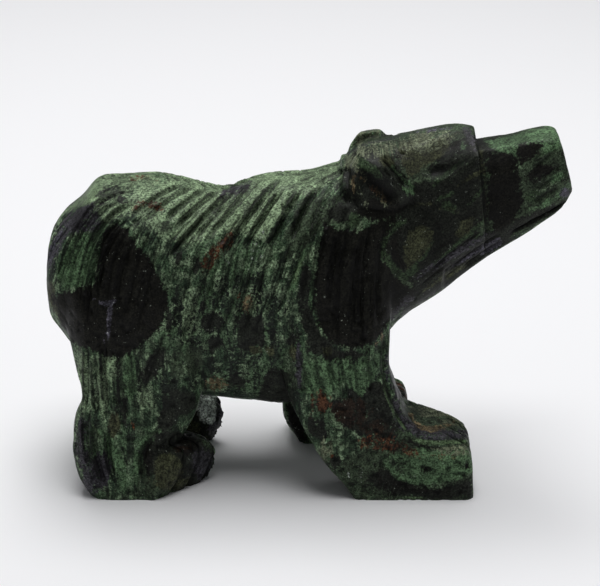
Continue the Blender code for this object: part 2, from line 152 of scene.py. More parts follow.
# A torso section is (x, bottom, top, share of half the body width).
TORSO = [
    (-509, 535, 640, 360),
    (-503, 472, 692, 600),
    (-481, 428, 741, 780),
    (-447, 366, 783, 890),
    (-404, 303, 842, 950),
    (-355, 260, 846, 990),
    (-300, 245, 850, 990),
    (-237, 240, 832, 950),
    (-171, 230, 813, 920),
    (-118, 222, 838, 920),
    (-66, 214, 853, 940),
    (-13, 226, 856, 960),
    (40, 250, 878, 950),
    (90, 285, 896, 890),
    (124, 341, 915, 810),
    (150, 424, 920, 740),
    (190, 482, 910, 680),
    (250, 538, 890, 580),
]

# A faceted section is (x, lean, then its half outline from the top down: share of half the width, z).
HEAD = [
    (55, 0, (0, 895), (500, 893), (1020, 862), (1160, 720), (620, 645), (0, 625)),
    (105, 0, (0, 945), (600, 938), (1040, 880), (1180, 690), (620, 560), (0, 540)),
    (150, 0, (0, 957), (620, 948), (1030, 884), (1160, 640), (620, 458), (0, 443)),
    (190, 0, (0, 973), (560, 961), (1000, 878), (1130, 630), (600, 491), (0, 476)),
    (237, 0, (0, 991), (420, 982), (980, 880), (1080, 660), (560, 533), (0, 520)),
    (280, 0, (0, 999), (250, 995), (970, 926), (1010, 698), (530, 582), (0, 570)),
    (307, 100, (0, 996), (180, 991), (950, 955), (960, 726), (500, 641), (0, 629)),
]
MUZZLE = [
    (290, 0, (0, 942), (600, 938), (1000, 870), (1040, 696), (660, 590), (0, 578)),
    (331, 0, (0, 953), (620, 949), (1000, 886), (1030, 718), (680, 638), (0, 626)),
    (381, 0, (0, 965), (660, 960), (980, 906), (1000, 754), (680, 683), (0, 671)),
    (434, 0, (0, 984), (720, 977), (930, 936), (950, 804), (680, 736), (0, 724)),
    (457, 130, (0, 986), (700, 980), (880, 948), (900, 850), (640, 782), (0, 772)),
    (466, 280, (0, 980), (580, 974), (760, 940), (800, 874), (560, 829), (0, 823)),
]

# The ear is stacked outward: (share of half the ear span, share its outline is drawn in by).
EAR_OUTLINE = [
    (69, 780),
    (74, 910),
    (91, 948),
    (131, 956),
    (151, 928),
    (203, 838),
    (165, 770),
]
EAR_LAYERS = [(450, -100), (660, 0), (860, 160), (1000, 420)]

# Each layer of the ear is lifted by this share of HEIGHT, times how far it is drawn in.
EAR_LIFT = 0.024

# The toes begin below this height, the cuts between them this much higher, and those of the hind feet are
# shallower. The instep droops between the first and last of four heights, and fully between the middle two.
TOE_TOP = 0.145
TOE_CUT_RISE = 1.3
HIND_TOE_SHARE = 0.5
DROOP_HEIGHTS = (0.04, 0.14, 0.24, 0.32)

# How crisp the corners of each section are: 1 is straight between them, 0 is a smooth curve through them.
HEAD_CRISP = 0.85
EAR_CRISP = 0.8
HIND_LEG_CRISP = 0.45
FORE_LEG_CRISP = 0.8

# A leg section is (z, back x, front x, outer and inner share of half the leg width, corner, toe corner).
HIND_LEG = [
    (758, -408, -280, 0, 600, 300, 300),
    (682, -450, -250, 420, 800, 320, 340),
    (587, -477, -226, 700, 900, 340, 360),
    (492, -466, -215, 820, 900, 340, 360),
    (398, -453, -210, 840, 900, 320, 340),
    (341, -446, -211, 820, 900, 310, 340),
    (312, -441, -212, 800, 900, 300, 340),
    (277, -440, -216, 780, 900, 300, 340),
    (231, -452, -226, 800, 900, 300, 340),
    (189, -458, -240, 840, 900, 280, 360),
    (155, -459, -252, 900, 900, 260, 400),
    (140, -461, -222, 930, 1000, 240, 500),
    (125, -460, -201, 970, 1000, 220, 620),
    (87, -456, -189, 1000, 1000, 200, 750),
    (45, -448, -193, 1000, 1000, 200, 800),
    (17, -437, -204, 990, 1000, 220, 800),
    (-40, -415, -224, 950, 1000, 250, 800),
]
NEAR_FORE_LEG = [
    (720, -40, 118, 0, 500, 300, 300),
    (625, -60, 142, 400, 700, 320, 320),
    (530, -66, 148, 660, 900, 300, 320),
    (455, -64, 146, 800, 900, 280, 300),
    (379, -58, 145, 870, 900, 220, 260),
    (322, -50, 157, 900, 1000, 180, 200),
    (284, -40, 166, 920, 1000, 160, 160),
    (252, -27, 180, 940, 1000, 140, 140),
    (231, -18, 201, 960, 1000, 120, 120),
    (208, -10, 247, 970, 1000, 120, 120),
    (184, 0, 281, 980, 1000, 100, 120),
    (162, 8, 300, 1000, 1000, 100, 120),
    (114, 27, 308, 1000, 1000, 100, 120),
    (40, 61, 310, 1000, 1000, 100, 120),
    (9, 75, 311, 1000, 1000, 100, 120),
    (-40, 97, 309, 1000, 1000, 120, 120),
]
FAR_FORE_LEG = [
    (720, -66, 92, 0, 500, 300, 300),
    (625, -86, 112, 400, 700, 320, 320),
    (530, -92, 122, 660, 900, 300, 320),
    (455, -92, 122, 800, 900, 280, 300),
    (379, -86, 118, 870, 900, 220, 260),
    (284, -70, 118, 920, 1000, 160, 160),
    (208, -60, 130, 940, 1000, 140, 140),
    (182, -58, 157, 960, 1000, 120, 120),
    (157, -60, 190, 1000, 1000, 120, 120),
    (100, -59, 198, 1000, 1000, 120, 120),
    (49, -48, 197, 1000, 1000, 120, 120),
    (9, -29, 197, 1000, 1000, 120, 120),
    (-40, -14, 195, 1000, 1000, 120, 120),
]

# Cuts are drawn on the animal as seen from its side and a little from above.
LOOK_DOWN = 0.364

# A cut is its start, middle and end. A bundle is (first cut, last cut, how many, width, depth), and the last
# two are shares of the usual ones.
FLANK = [
    (((-223, 850), (-290, 795), (-352, 712)), ((-113, 845), (-180, 725), (-246, 596)), 6, 1.0, 1.0),
    (((-91, 845), (-152, 735), (-215, 604)), ((12, 830), (-24, 730), (-50, 610)), 5, 1.0, 1.1),
    (((-208, 640), (-238, 505), (-272, 360)), ((-121, 676), (-137, 545), (-179, 389)), 5, 0.9, 0.6),
    (((-102, 666), (-120, 545), (-150, 400)), ((-12, 689), (-43, 560), (-83, 418)), 4, 0.9, 0.6),
]
SHOULDER = [
    (((16, 728), (-10, 575), (-24, 404)), ((132, 700), (120, 530), (125, 375)), 7, 0.9, 0.8),
    (((71, 878), (36, 849), (5, 805)), ((54, 898), (7, 872), (-41, 834)), 2, 1.0, 0.9),
    (((39, 852), (16, 772), (-3, 689)), ((66, 767), (50, 692), (43, 602)), 3, 0.9, 0.6),
]
RUMP = [
    (((-337, 811), (-425, 735), (-478, 530)), ((-345, 718), (-395, 595), (-407, 389)), 5, 1.1, 1.2),
    (((-335, 705), (-375, 580), (-385, 389)), ((-288, 666), (-311, 530), (-337, 360)), 4, 0.9, 0.6),
    (((-345, 832), (-390, 812), (-428, 770)), ((-300, 850), (-350, 850), (-395, 832)), 2, 1.0, 0.8),
]
LEGS = [
    (((-428, 360), (-434, 250), (-438, 165)), ((-365, 360), (-365, 225), (-345, 84)), 4, 0.9, 0.8),
    (((-345, 375), (-345, 260), (-338, 150)), ((-280, 404), (-312, 280), (-333, 186)), 3, 0.9, 0.5),
    (((-436, 142), (-434, 50), (-409, -67)), ((-384, 113), (-381, 10), (-364, -76)), 3, 1.0, 1.0),
    (((-22, 360), (-14, 285), (9, 206)), ((105, 360), (110, 273), (118, 186)), 6, 0.9, 0.6),
]
FACE = [
    (((362, 657), (314, 609), (259, 546)), ((341, 706), (265, 619), (191, 526)), 3, 0.8, 0.5),
    (((457, 921), (435, 896), (413, 869)), ((479, 823), (449, 797), (415, 767)), 4, 0.8, 0.3),
]

# A lone cut is (cut, width, depth).
SHIN_EDGE = (((138, 389), (143, 245), (183, 107)), 0.8, 0.7)
ANKLE = (((-304, 90), (-322, 35), (-320, -40)), 1.1, 1.0)
MOUTH = (((495, 786), (440, 737), (377, 686)), 0.5, 1.1)
EAR_REAR = (((68, 880), (64, 820), (69, 764)), 1.0, 0.9)
EAR_HOLLOW = (((96, 862), (120, 822), (152, 772)), 3.2, 0.8)
EAR_FRONT = (((130, 898), (157, 858), (180, 811)), 0.9, 0.9)
BROW_SCOOP = (((215, 860), (255, 865), (300, 905)), 2.0, 0.4)
EYE_PIT = (((158, 922), (163, 916), (169, 910)), 0.9, 0.6)
LONE_CUTS = [SHIN_EDGE, ANKLE, MOUTH, EAR_REAR, EAR_HOLLOW, EAR_FRONT, BROW_SCOOP, EYE_PIT]
BUNDLES = FLANK + SHOULDER + RUMP + LEGS + FACE + [(cut, cut, 1, *sizes) for cut, *sizes in LONE_CUTS]

# Cuts drawn as seen from the end: (facing, lowest z, highest z, share of the width, how many, depth share).
END_CUTS = [(-1, 0.36, 0.76, 0.62, 8, 0.9), (1, 0.34, 0.52, 0.45, 6, 0.7)]
END_CUT_SPREAD = 0.8
TOES = 4

# Each kind of cut grows from nothing to its full depth as the stone turns to face the carver by this much.
SIDE_FACING = (0.0, 0.35)
END_FACING = (0.5, 0.8)
TOE_FACING = (0.2, 0.5)

# The ends of a cut rise over this share of its length, and start at this share of its depth.
CUT_TAPER = 0.16
CUT_END = 0.15

# Where the photograph was taken from, in metres and degrees, its lens in millimetres, its size in pixels,
# and how many millimetres of the bear a pixel shows.
VIEW_MIDDLE = (-0.00125, 0.0270)
VIEW_TILT = math.radians(20)
VIEW_DISTANCE = 0.320
FOCAL_LENGTH = 129.4
SENSOR = 36.0
PICTURE = (600, 586)
PIXEL = 0.144

# The stone's pattern, read from the photograph in its pixels; one patch is painted shadow and one oval a
# painted glint, as marked. A patch is the x and y of each corner of its outline. An oval is (middle x,
# middle y, half width, half height), then its turn in degrees, if it has one. A vein is the x and y of its
# start, its middle and its end, then its half width.
PATCHES = {
    "sage": [
        (60, 215, 96, 178, 200, 172, 346, 150, 338, 182, 312, 190, 290, 206, 262, 240, 225, 232, 190, 243,
         160, 234, 136, 212, 104, 222, 86, 204),
    ],
    "mottle": [(176, 284, 262, 276, 300, 330, 298, 402, 205, 398, 160, 400, 134, 386, 168, 345)],
    "pine": [
        (350, 130, 470, 118, 482, 134, 560, 124, 575, 200, 500, 246, 420, 306, 394, 300, 372, 260, 372, 200,
         344, 196),
        (286, 232, 300, 204, 330, 192, 350, 204, 350, 224, 324, 226, 300, 250, 288, 258),
        (380, 330, 398, 390, 470, 406, 478, 500, 340, 500, 332, 470, 356, 450, 380, 440, 392, 410),
        (150, 432, 214, 434, 216, 492, 140, 496, 136, 470),
    ],
    "dark": [
        (236, 317, 263, 314, 267, 346, 240, 352),
        # The next patch is painted shadow in the crease between the belly and the fore leg.
        (256, 404, 262, 378, 272, 366, 288, 370, 293, 404),
        (142, 452, 156, 434, 178, 430, 202, 438, 214, 456, 209, 480, 190, 490, 158, 488),
        (344, 166, 354, 148, 376, 145, 396, 164, 410, 184, 446, 178, 462, 164, 482, 156, 488, 210, 470, 250,
         440, 274, 412, 284, 384, 262, 384, 236, 398, 216, 372, 222, 344, 206),
        (405, 292, 440, 264, 486, 232, 566, 200, 560, 214, 500, 246, 428, 300, 398, 322),
        (346, 398, 351, 380, 360, 398, 372, 380, 386, 384, 398, 430, 398, 446, 366, 440, 338, 422, 326, 400),
        (384, 467, 402, 480, 434, 488, 472, 478, 474, 498, 400, 498, 366, 484),
        (464, 140, 484, 137, 520, 133, 520, 140, 494, 148, 488, 160, 466, 166),
        (304, 306, 314, 316, 322, 336, 340, 350, 366, 352, 366, 364, 330, 360, 306, 352),
        (450, 142, 480, 132, 486, 150, 462, 166, 436, 176, 426, 170),
        (302, 262, 314, 270, 316, 300, 308, 332, 300, 330, 298, 300),
    ],
    "green": [
        (70, 240, 84, 232, 96, 246, 94, 272, 84, 288, 62, 288, 58, 270),
        (386, 450, 402, 452, 422, 446, 446, 448, 473, 450, 474, 474, 450, 480, 426, 482, 404, 472),
        (484, 141, 520, 134, 556, 124, 562, 146, 545, 151, 520, 146, 516, 158, 497, 151),
        (302, 360, 330, 360, 366, 356, 376, 372, 362, 396, 344, 384, 326, 398, 306, 392),
    ],
    "olive": [
        (398, 143, 425, 137, 452, 136, 450, 150, 436, 160, 420, 170, 410, 177, 402, 166, 396, 154),
        (408, 232, 422, 226, 434, 232, 432, 244, 418, 262, 407, 268, 403, 250),
        (461, 222, 477, 218, 470, 232, 453, 242),
    ],
    "black": [
        (100, 232, 116, 226, 128, 230, 137, 244, 146, 256, 158, 272, 168, 290, 170, 306, 160, 330, 140, 346,
         120, 358, 92, 352, 72, 340, 58, 318, 52, 296, 80, 289, 95, 281, 99, 256),
        (323, 222, 338, 230, 362, 230, 376, 222, 400, 214, 392, 226, 384, 240, 381, 254, 388, 270, 402, 282,
         416, 290, 414, 300, 396, 314, 384, 330, 372, 345, 352, 348, 332, 344, 320, 330, 314, 310, 314, 286,
         317, 250),
        (372, 198, 396, 200, 404, 208, 396, 216, 372, 220, 354, 212),
        (488, 150, 498, 152, 512, 155, 518, 162, 520, 180, 523, 200, 519, 214, 508, 226, 497, 234, 490, 226,
         487, 190),
        (518, 143, 530, 142, 543, 144, 542, 150, 529, 164, 519, 166),
        (540, 166, 556, 167, 549, 175, 534, 183, 525, 185, 530, 174),
    ],
}
OVALS = {
    "sage": [
        (104, 208, 14, 10), (188, 312, 9, 26), (86, 384, 7, 30), (102, 386, 6, 28), (114, 366, 4, 14),
        (252, 300, 10, 14), (340, 172, 8, 12, 20), (146, 396, 8, 14),
    ],
    "pine": [(290, 372, 7, 13), (168, 228, 6, 6), (185, 362, 18, 14)],
    "dark": [
        (122, 200, 7, 4, 20), (168, 320, 5, 22), (178, 258, 4, 7, 10), (197, 268, 6, 9, 20),
        (212, 322, 12, 11), (216, 344, 10, 8), (292, 339, 7, 6), (237, 381, 10, 6), (153, 366, 8, 22, 30),
        (181, 403, 17, 13), (373, 480, 5, 11), (360, 388, 11, 12), (343, 213, 15, 9),
        (319, 430, 8, 13, -30), (336, 462, 6, 8), (322, 404, 10, 8), (324, 466, 5, 9, -20),
        (166, 420, 9, 12), (206, 304, 4, 8),
    ],
    "green": [(408, 188, 5, 7, -30), (556, 178, 8, 5, -40), (130, 376, 6, 26), (463, 147, 3, 5)],
    "moss": [
        (354, 219, 5, 8), (336, 236, 4, 5), (361, 163, 11, 6, 35), (375, 172, 9, 4, 50),
        (448, 206, 8, 4, 20), (533, 196, 9, 6, -30),
    ],
    "olive": [
        (168, 468, 15, 15, -20), (255, 350, 5, 5), (269, 351, 6, 5), (293, 352, 5, 8), (386, 160, 8, 5, 30),
        (114, 424, 6, 11), (328, 351, 5, 4),
    ],
    "black": [
        (404, 464, 6, 3, 20), (425, 469, 6, 4, 10), (466, 467, 3, 3), (187, 446, 12, 9),
        (396, 155, 5, 3, 20), (456, 146, 4, 7), (561, 169, 4, 2), (148, 460, 5, 13),
    ],
    "violet": [
        (86, 222, 17, 10, -24), (84, 445, 9, 26), (96, 474, 13, 22, 20), (238, 189, 14, 5, -20),
        (201, 463, 9, 14, 10),
    ],
    "brown": [(352, 412, 20, 14), (384, 444, 20, 8, 8), (376, 428, 14, 9), (182, 450, 6, 5)],
    "rust": [
        (236, 296, 3, 2, -40), (381, 443, 17, 7), (319, 400, 8, 9), (216, 254, 6, 21, 38),
        (410, 452, 9, 4, 20), (441, 457, 3, 3), (375, 190, 5, 3, 42),
    ],
    "ash": [
        (378, 149, 24, 6, -8), (424, 142, 30, 8, -10), (350, 161, 7, 6, -40), (440, 415, 20, 5, 14),
        (456, 451, 16, 4), (326, 450, 6, 8),
    ],
    "orange": [(333, 456, 2, 2), (453, 457, 1.5, 1.5), (370, 437, 5, 1.5)],
    "beige": [(216, 384, 9, 6), (248, 303, 5, 7), (380, 194, 8, 2.6, 48), (362, 178, 3, 2, 20)],
    "mauve": [(565, 193, 4, 4), (490, 247, 10, 3, -32)],
    "pale": [
        (258, 246, 5, 11, 20), (228, 265, 1.5, 1.5), (355, 476, 5, 5), (362, 196, 2, 2),
        # The pale oval on the next line is a painted glint.
        (394, 182, 1.3, 1.3),
    ],
}
VEINS = {
    "sage": [(290, 298, 286, 312, 290, 330, 3)],
    "dark": [
        (96, 196, 107, 189, 118, 186, 1.5), (98, 206, 114, 196, 132, 189, 1.4),
        (58, 246, 76, 222, 97, 205, 1.3), (117, 355, 118, 385, 117, 415, 2.5),
        (128, 392, 125, 412, 128, 432, 3), (101, 350, 102, 366, 103, 380, 1.5),
        (545, 190, 556, 184, 568, 176, 1.5), (523, 208, 538, 198, 551, 189, 1.5),
        (82, 288, 84, 262, 93, 240, 1.5),
    ],
    "green": [
        (307, 252, 296, 276, 292, 300, 3), (242, 238, 235, 262, 230, 290, 1.8),
        (252, 240, 247, 262, 243, 286, 1.8), (222, 250, 211, 280, 208, 310, 3),
        (316, 262, 311, 284, 311, 308, 2), (316, 312, 321, 326, 332, 340, 3),
        (540, 155, 551, 150, 562, 147, 1.3), (528, 212, 552, 199, 570, 184, 1.5),
        (380, 152, 397, 173, 411, 188, 1.6), (98, 430, 114, 455, 126, 492, 6),
        (150, 432, 138, 456, 136, 484, 4), (384, 455, 408, 480, 462, 476, 4),
    ],
    "moss": [
        (404, 222, 382, 244, 404, 278, 6), (433, 240, 419, 261, 407, 278, 3.5),
        (486, 220, 460, 242, 420, 278, 2.5), (430, 190, 445, 176, 463, 161, 2),
        (446, 209, 452, 211, 460, 215, 1), (468, 205, 478, 196, 486, 180, 1.6),
        (436, 203, 444, 196, 456, 192, 2), (508, 238, 536, 224, 562, 207, 1.6),
    ],
    "olive": [
        (455, 187, 468, 179, 482, 171, 0.8), (467, 262, 448, 275, 424, 290, 3),
        (150, 480, 170, 486, 190, 478, 4), (50, 282, 54, 304, 66, 326, 4),
        (421, 408, 440, 412, 458, 420, 2.5), (412, 207, 436, 205, 460, 214, 1),
        (440, 298, 420, 306, 410, 310, 1.5), (480, 148, 485, 180, 489, 222, 0.9),
    ],
    "black": [
        (315, 351, 340, 362, 368, 351, 1.6), (266, 368, 277, 380, 290, 400, 1.6),
        (406, 228, 392, 248, 404, 265, 4.5), (90, 415, 91, 445, 91, 480, 1.5),
        (530, 222, 542, 215, 556, 207, 1.4), (404, 433, 424, 446, 470, 448, 2),
        (421, 404, 436, 416, 457, 414, 1.3), (487, 214, 466, 230, 434, 254, 1.3),
        (494, 234, 466, 256, 424, 278, 1.8), (386, 470, 410, 488, 470, 488, 4),
        (374, 462, 380, 480, 392, 494, 2), (560, 152, 566, 160, 564, 172, 1.5),
    ],
    "violet": [
        (93, 206, 65, 228, 51, 264, 7), (299, 345, 300, 365, 299, 386, 2.5),
        (386, 352, 390, 376, 400, 396, 5), (398, 390, 410, 428, 472, 433, 6.5),
        (491, 232, 461, 250, 416, 279, 3), (414, 298, 404, 304, 392, 318, 4),
        (464, 127, 470, 136, 474, 149, 3.5), (356, 145, 376, 142, 398, 136, 1.2),
        (346, 157, 358, 148, 376, 146, 2),
    ],
    "lime": [
        (384, 384, 394, 412, 410, 436, 1.6), (410, 436, 432, 443, 471, 440, 2.4),
        (100, 440, 96, 430, 92, 425, 1.5), (305, 256, 298, 272, 293, 286, 1.3),
        (398, 497, 410, 498, 422, 497, 1.2),
    ],
    "rust": [
        (131, 180, 145, 178, 159, 182, 1.8), (134, 211, 147, 203, 162, 210, 2.6),
        (312, 396, 328, 402, 314, 413, 4), (363, 448, 365, 438, 376, 436, 2),
    ],
    "ash": [(352, 166, 370, 182, 386, 206, 0.5), (350, 180, 360, 194, 368, 210, 0.5)],
    "orange": [(130, 420, 133, 425, 134, 433, 1.5)],
    "beige": [
        (404, 398, 424, 428, 463, 416, 1.6), (353, 176, 353, 184, 354, 192, 0.8),
        (374, 346, 378, 341, 382, 336, 1.2),
    ],
    "mauve": [
        (93, 299, 104, 303, 116, 301, 2), (107, 303, 110, 322, 104, 342, 1.4),
        (499, 238, 481, 248, 453, 266, 1.8), (63, 229, 54, 246, 50, 266, 2.2),
        (451, 284, 430, 297, 398, 318, 1.2), (393, 352, 389, 362, 390, 370, 1.5),
        (416, 133, 436, 129, 458, 128, 1),
    ],
    "pale": [(402, 316, 390, 330, 386, 348, 1)],
}

# The left side has the same pattern, strayed by this many pixels, and marks of its own.
FAR_STRAY = (-13, 7)
FAR_OVALS = {
    "green": [(357, 157, 16, 9)],
    "ash": [(357, 156, 13, 7)],
    # A pale patch on top of the left hind paw, brightened further as a painted highlight.
    "mist_and_highlight": [(191, 449, 9, 12, -20)],
    "black": [(283, 461, 8, 22, -25)],
}

# The kinds of stone, from the lowest layer to the highest: (name, colour, softness of its edge, how ragged
# it is, how full its inside is), the last three in millimetres. From SMALL on they show on the sides alone.
STONES = [
    ("sage", (0.112, 0.156, 0.090), 0.9, 1.3, 0.45),
    ("mottle", (0.0085, 0.0115, 0.0085), 0.3, 1.4, -0.12),
    ("pine", (0.0245, 0.0350, 0.0205), 0.8, 1.2, 0.55),
    ("dark", (0.0090, 0.0105, 0.0078), 0.4, 0.6, 0.5),
    ("green", (0.046, 0.080, 0.040), 0.4, 0.55, 0.5),
    ("moss", (0.0210, 0.0340, 0.0170), 0.35, 0.4, 0.5),
    ("olive", (0.028, 0.031, 0.016), 0.4, 0.5, 0.5),
    ("black", (0.0048, 0.0048, 0.0036), 0.4, 0.75, 0.8),
    ("violet", (0.0260, 0.0250, 0.0290), 0.4, 0.7, 0.25),
    ("ash", (0.078, 0.090, 0.056), 0.35, 1.1, 0.06),
    ("brown", (0.0125, 0.0078, 0.0048), 0.5, 0.9, 0.4),
    ("lime", (0.060, 0.092, 0.046), 0.3, 0.25, 1.0),
    ("rust", (0.050, 0.022, 0.011), 0.35, 0.8, 0.12),
    ("beige", (0.080, 0.062, 0.034), 0.35, 0.7, 0.14),
    ("mauve", (0.050, 0.048, 0.060), 0.3, 0.5, 0.3),
    ("orange", (0.130, 0.042, 0.014), 0.25, 0.35, 0.3),
    ("pale", (0.200, 0.225, 0.200), 0.25, 0.9, -0.38),
    # Pale stone on top of the left hind paw, brightened further as a painted highlight.
    ("mist_and_highlight", (0.320, 0.360, 0.320), 0.50, 0.3, 0.5),
]
SMALL = 10
SMALL_FACING = (0.10, 0.45)

# The ground of the stone.
GREEN_DEEP = (0.0140, 0.0250, 0.0140)
GREEN_MID = (0.0430, 0.0720, 0.0380)
GREEN_LIGHT = (0.1050, 0.1480, 0.0880)
GREEN_BLACK = (0.0055, 0.0080, 0.0060)
# The colour of pale specks of the stone, which also stand in for painted glints.
FLECK_AND_GLINT = (0.240, 0.270, 0.230)

# How much of each kind of light and dark there is in it, in shares.
FIBRE_SHARE = 0.40
SPOT_SHARE = 0.80
FLECK_AND_GLINT_SHARE = 0.55
# The next three: cuts darkened with painted shade and dirt, ridges lightened for wear and a painted
# highlight, hollows darkened with painted shade.
GROOVE_SHADE = 0.80
RIDGE_WEAR_AND_HIGHLIGHT = 0.55
HOLLOW_SHADE = 0.45
CLOUD_SPREAD = 0.22
FIBRE_SPREAD = 0.24
GRAIN_SPREAD = 0.75
STREAK_SHARE = 0.14

# How ragged the marks are: how much of it is lumps and how much specks, and how far both reach.
RAGGED_SHARES = (0.6, 0.7)
RAGGED_REACH = 4

# Where ridges get wear and a painted highlight and hollows get painted shade, where cuts get painted shade
# and dirt, where flecks with their painted glints begin and are full, and how much they cluster.
WEAR_AND_SHADE_RANGE = (0.05, 0.8)
CUT_SHADED = (0.20, 0.80)
FLECK_AND_GLINT_FROM = (0.69, 0.75)
CLUSTER_SHIFT = 0.03

# The finish of the stone.
ROUGHNESS = (0.38, 0.58)
CUT_ROUGHNESS = 0.12
GRAIN_HEIGHT = 0.00004
GRAIN_BUMP = 0.6
DRAWN_SHARE = 0.8
SPECULAR = 0.10

# Where a node that mixes colours has its share and its two colours, and its result.
MIX_INPUTS = (0, 6, 7)
MIX_RESULT = 2

# Noise in the stone: (size of its spots in metres, detail, roughness).
EDGE_LUMPS = (0.0012, 3.0, 0.6)
EDGE_SPECKS = (0.0005, 3.0, 0.7)
# The noise of the flecks: pale specks of the stone and painted glints.
FLECK_AND_GLINT_NOISE = (0.00040, 2.0, 0.6)
FINE_GRAIN = (0.00016, 2.0, 0.6)
DRAWN_GRAIN = (0.00024, 2.0, 0.6)

# The same, and between which values it grows from nothing to its full share.
CLOUDS = (0.0050, 3.0, 0.60, 0.42, 0.60)
LUMPS = (0.0018, 5.0, 0.68, 0.49, 0.60)
FIBRES = (0.0006, 3.0, 0.65, 0.50, 0.66)
SPOTS = (0.0011, 5.0, 0.70, 0.54, 0.59)
SHADE_CLOUDS = (0.0016, 3.0, 0.60, 0.35, 0.65)
SHADE_FIBRES = (0.00036, 3.0, 0.60, 0.34, 0.66)
SHADE_GRAIN = (0.00028, 3.0, 0.70, 0.34, 0.66)
CLUSTERS = (0.0030, 2.0, 0.50, 0.45, 0.65)
SHEEN = (0.0016, 3.0, 0.50, 0.35, 0.65)

# The stage, in metres and watts.
FLOOR_HALF = 1.6
PAPER = (0.90, 0.90, 0.915)
PAPER_ROUGHNESS = 0.8
PAPER_SPECULAR = 0.1
ROOM = (0.96, 0.97, 1.0)
ROOM_LIGHT = 0.15
KEY_PLACE = (-0.01, 0.05, 0.55)
KEY_AIM = (0.0, 0.0, 0.02)
KEY_SIZE = (0.26, 0.60)
KEY_POWER = 2.9
BACK_PLACE = (0.0, 0.45, 0.60)
BACK_AIM = (0.0, 0.45, 0.0)
BACK_SIZE = (1.2, 0.5)
BACK_POWER = 1.2
CLIP = (0.01, 20.0)


def shares(thousandths):
    return np.array(thousandths) / 1000


def curve_at(start, middle, end, t):
    """The place on a curve from start through middle to end, as t goes from 0 to 1."""
    bend = 2 * middle - (start + end) / 2
    return (1 - t) ** 2 * start + 2 * t * (1 - t) * bend + t**2 * end


def mesh_of(shape, name):
    mesh = bpy.data.meshes.new(name)
    shape.to_mesh(mesh)
    shape.free()
    return mesh


def ring_through(corners, crisp):
    """Points round a closed outline, four for each corner, as crisp as asked for."""
    here = np.array(corners, float)
    before, after, beyond = (np.roll(here, step, axis=0) for step in (1, -1, -2))
    points = []
    for t in (0.0, 0.25, 0.5, 0.75):
        straight = here + (after - here) * t
        curve = 0.5 * (
            2 * here
            + (after - before) * t
            + (2 * before - 5 * here + 4 * after - beyond) * t**2
            + (3 * here - before - 3 * after + beyond) * t**3
        )
        points.append(crisp * straight + (1 - crisp) * curve)
    return np.stack(points, axis=1).reshape(-1, here.shape[1])


def slopes(along, values):
    """Tangents that never overshoot the stations, so that a bulge stays where its station is."""
    step = np.diff(along)[:, None, None]
    rise = np.diff(values, axis=0) / step
    tangent = np.zeros_like(values)
    tangent[0], tangent[-1] = rise[0], rise[-1]
    same = rise[:-1] * rise[1:] > 0
    total = np.where(same, rise[:-1] + rise[1:], 1.0)
    tangent[1:-1] = np.where(same, 2 * rise[:-1] * rise[1:] / total, 0.0)
    return tangent


def refine(rings, steps):
    """More rings between the given ones, along smooth curves through them."""
    rings = np.array(rings, float)
    middles = rings.mean(axis=1)
    reach = np.linalg.norm(rings - middles[:, None], axis=2).mean(axis=1)
    gaps = np.linalg.norm(np.diff(middles, axis=0), axis=1) + abs(np.diff(reach))
    along = np.concatenate([[0.0], np.cumsum(gaps)])
    tangent = slopes(along, rings)
    made = []
    for index, gap in enumerate(gaps):
        for part in range(steps):
            t = part / steps
            made.append(
                rings[index] * (2 * t**3 - 3 * t**2 + 1)
                + tangent[index] * gap * (t**3 - 2 * t**2 + t)
                + rings[index + 1] * (3 * t**2 - 2 * t**3)
                + tangent[index + 1] * gap * (t**3 - t**2)
            )
    made.append(rings[-1])
    return made


def loft(shape, rings):
    """Adds one closed body to the bmesh: a skin over the rings and a flat cap at each end."""
    loops = [[shape.verts.new(point) for point in ring] for ring in rings]
    count = len(loops[0])
    for first, second in zip(loops, loops[1:]):
        for index in range(count):
            after = (index + 1) % count
            shape.faces.new((first[index], first[after], second[after], second[index]))
    shape.faces.new(list(reversed(loops[0])))
    shape.faces.new(loops[-1])


def mirrored(half, x, lean, high):
    """The whole outline of a section from its half outline, leaning forward below its top."""
    other = [(-y, z) for y, z in reversed(half[1:-1])]
    return [(x + lean * (high - z), y, z) for y, z in half + other]


def torso_rings():
    rings = []
    for x, bottom, top, width in shares(TORSO):
        low, high = bottom * HEIGHT, top * HEIGHT
        tall, wide = high - low, width * BODY_WIDTH / 2
        half = [(share * wide, high - down * tall) for share, down in shares(TORSO_ROUND)]
        rings.append(ring_through(mirrored(half, x * LENGTH, 0.0, high), 0.0))
    return refine(rings, TORSO_STEPS)


def faceted_rings(sections, width):
    rings = []
    for x, lean, *half in sections:
        outline = [(y * width / 2, z * HEIGHT) for y, z in shares(half)]
        x, lean = shares((x, lean))
        rings.append(ring_through(mirrored(outline, x * LENGTH, lean, outline[0][1]), HEAD_CRISP))
    return refine(rings, OTHER_STEPS)


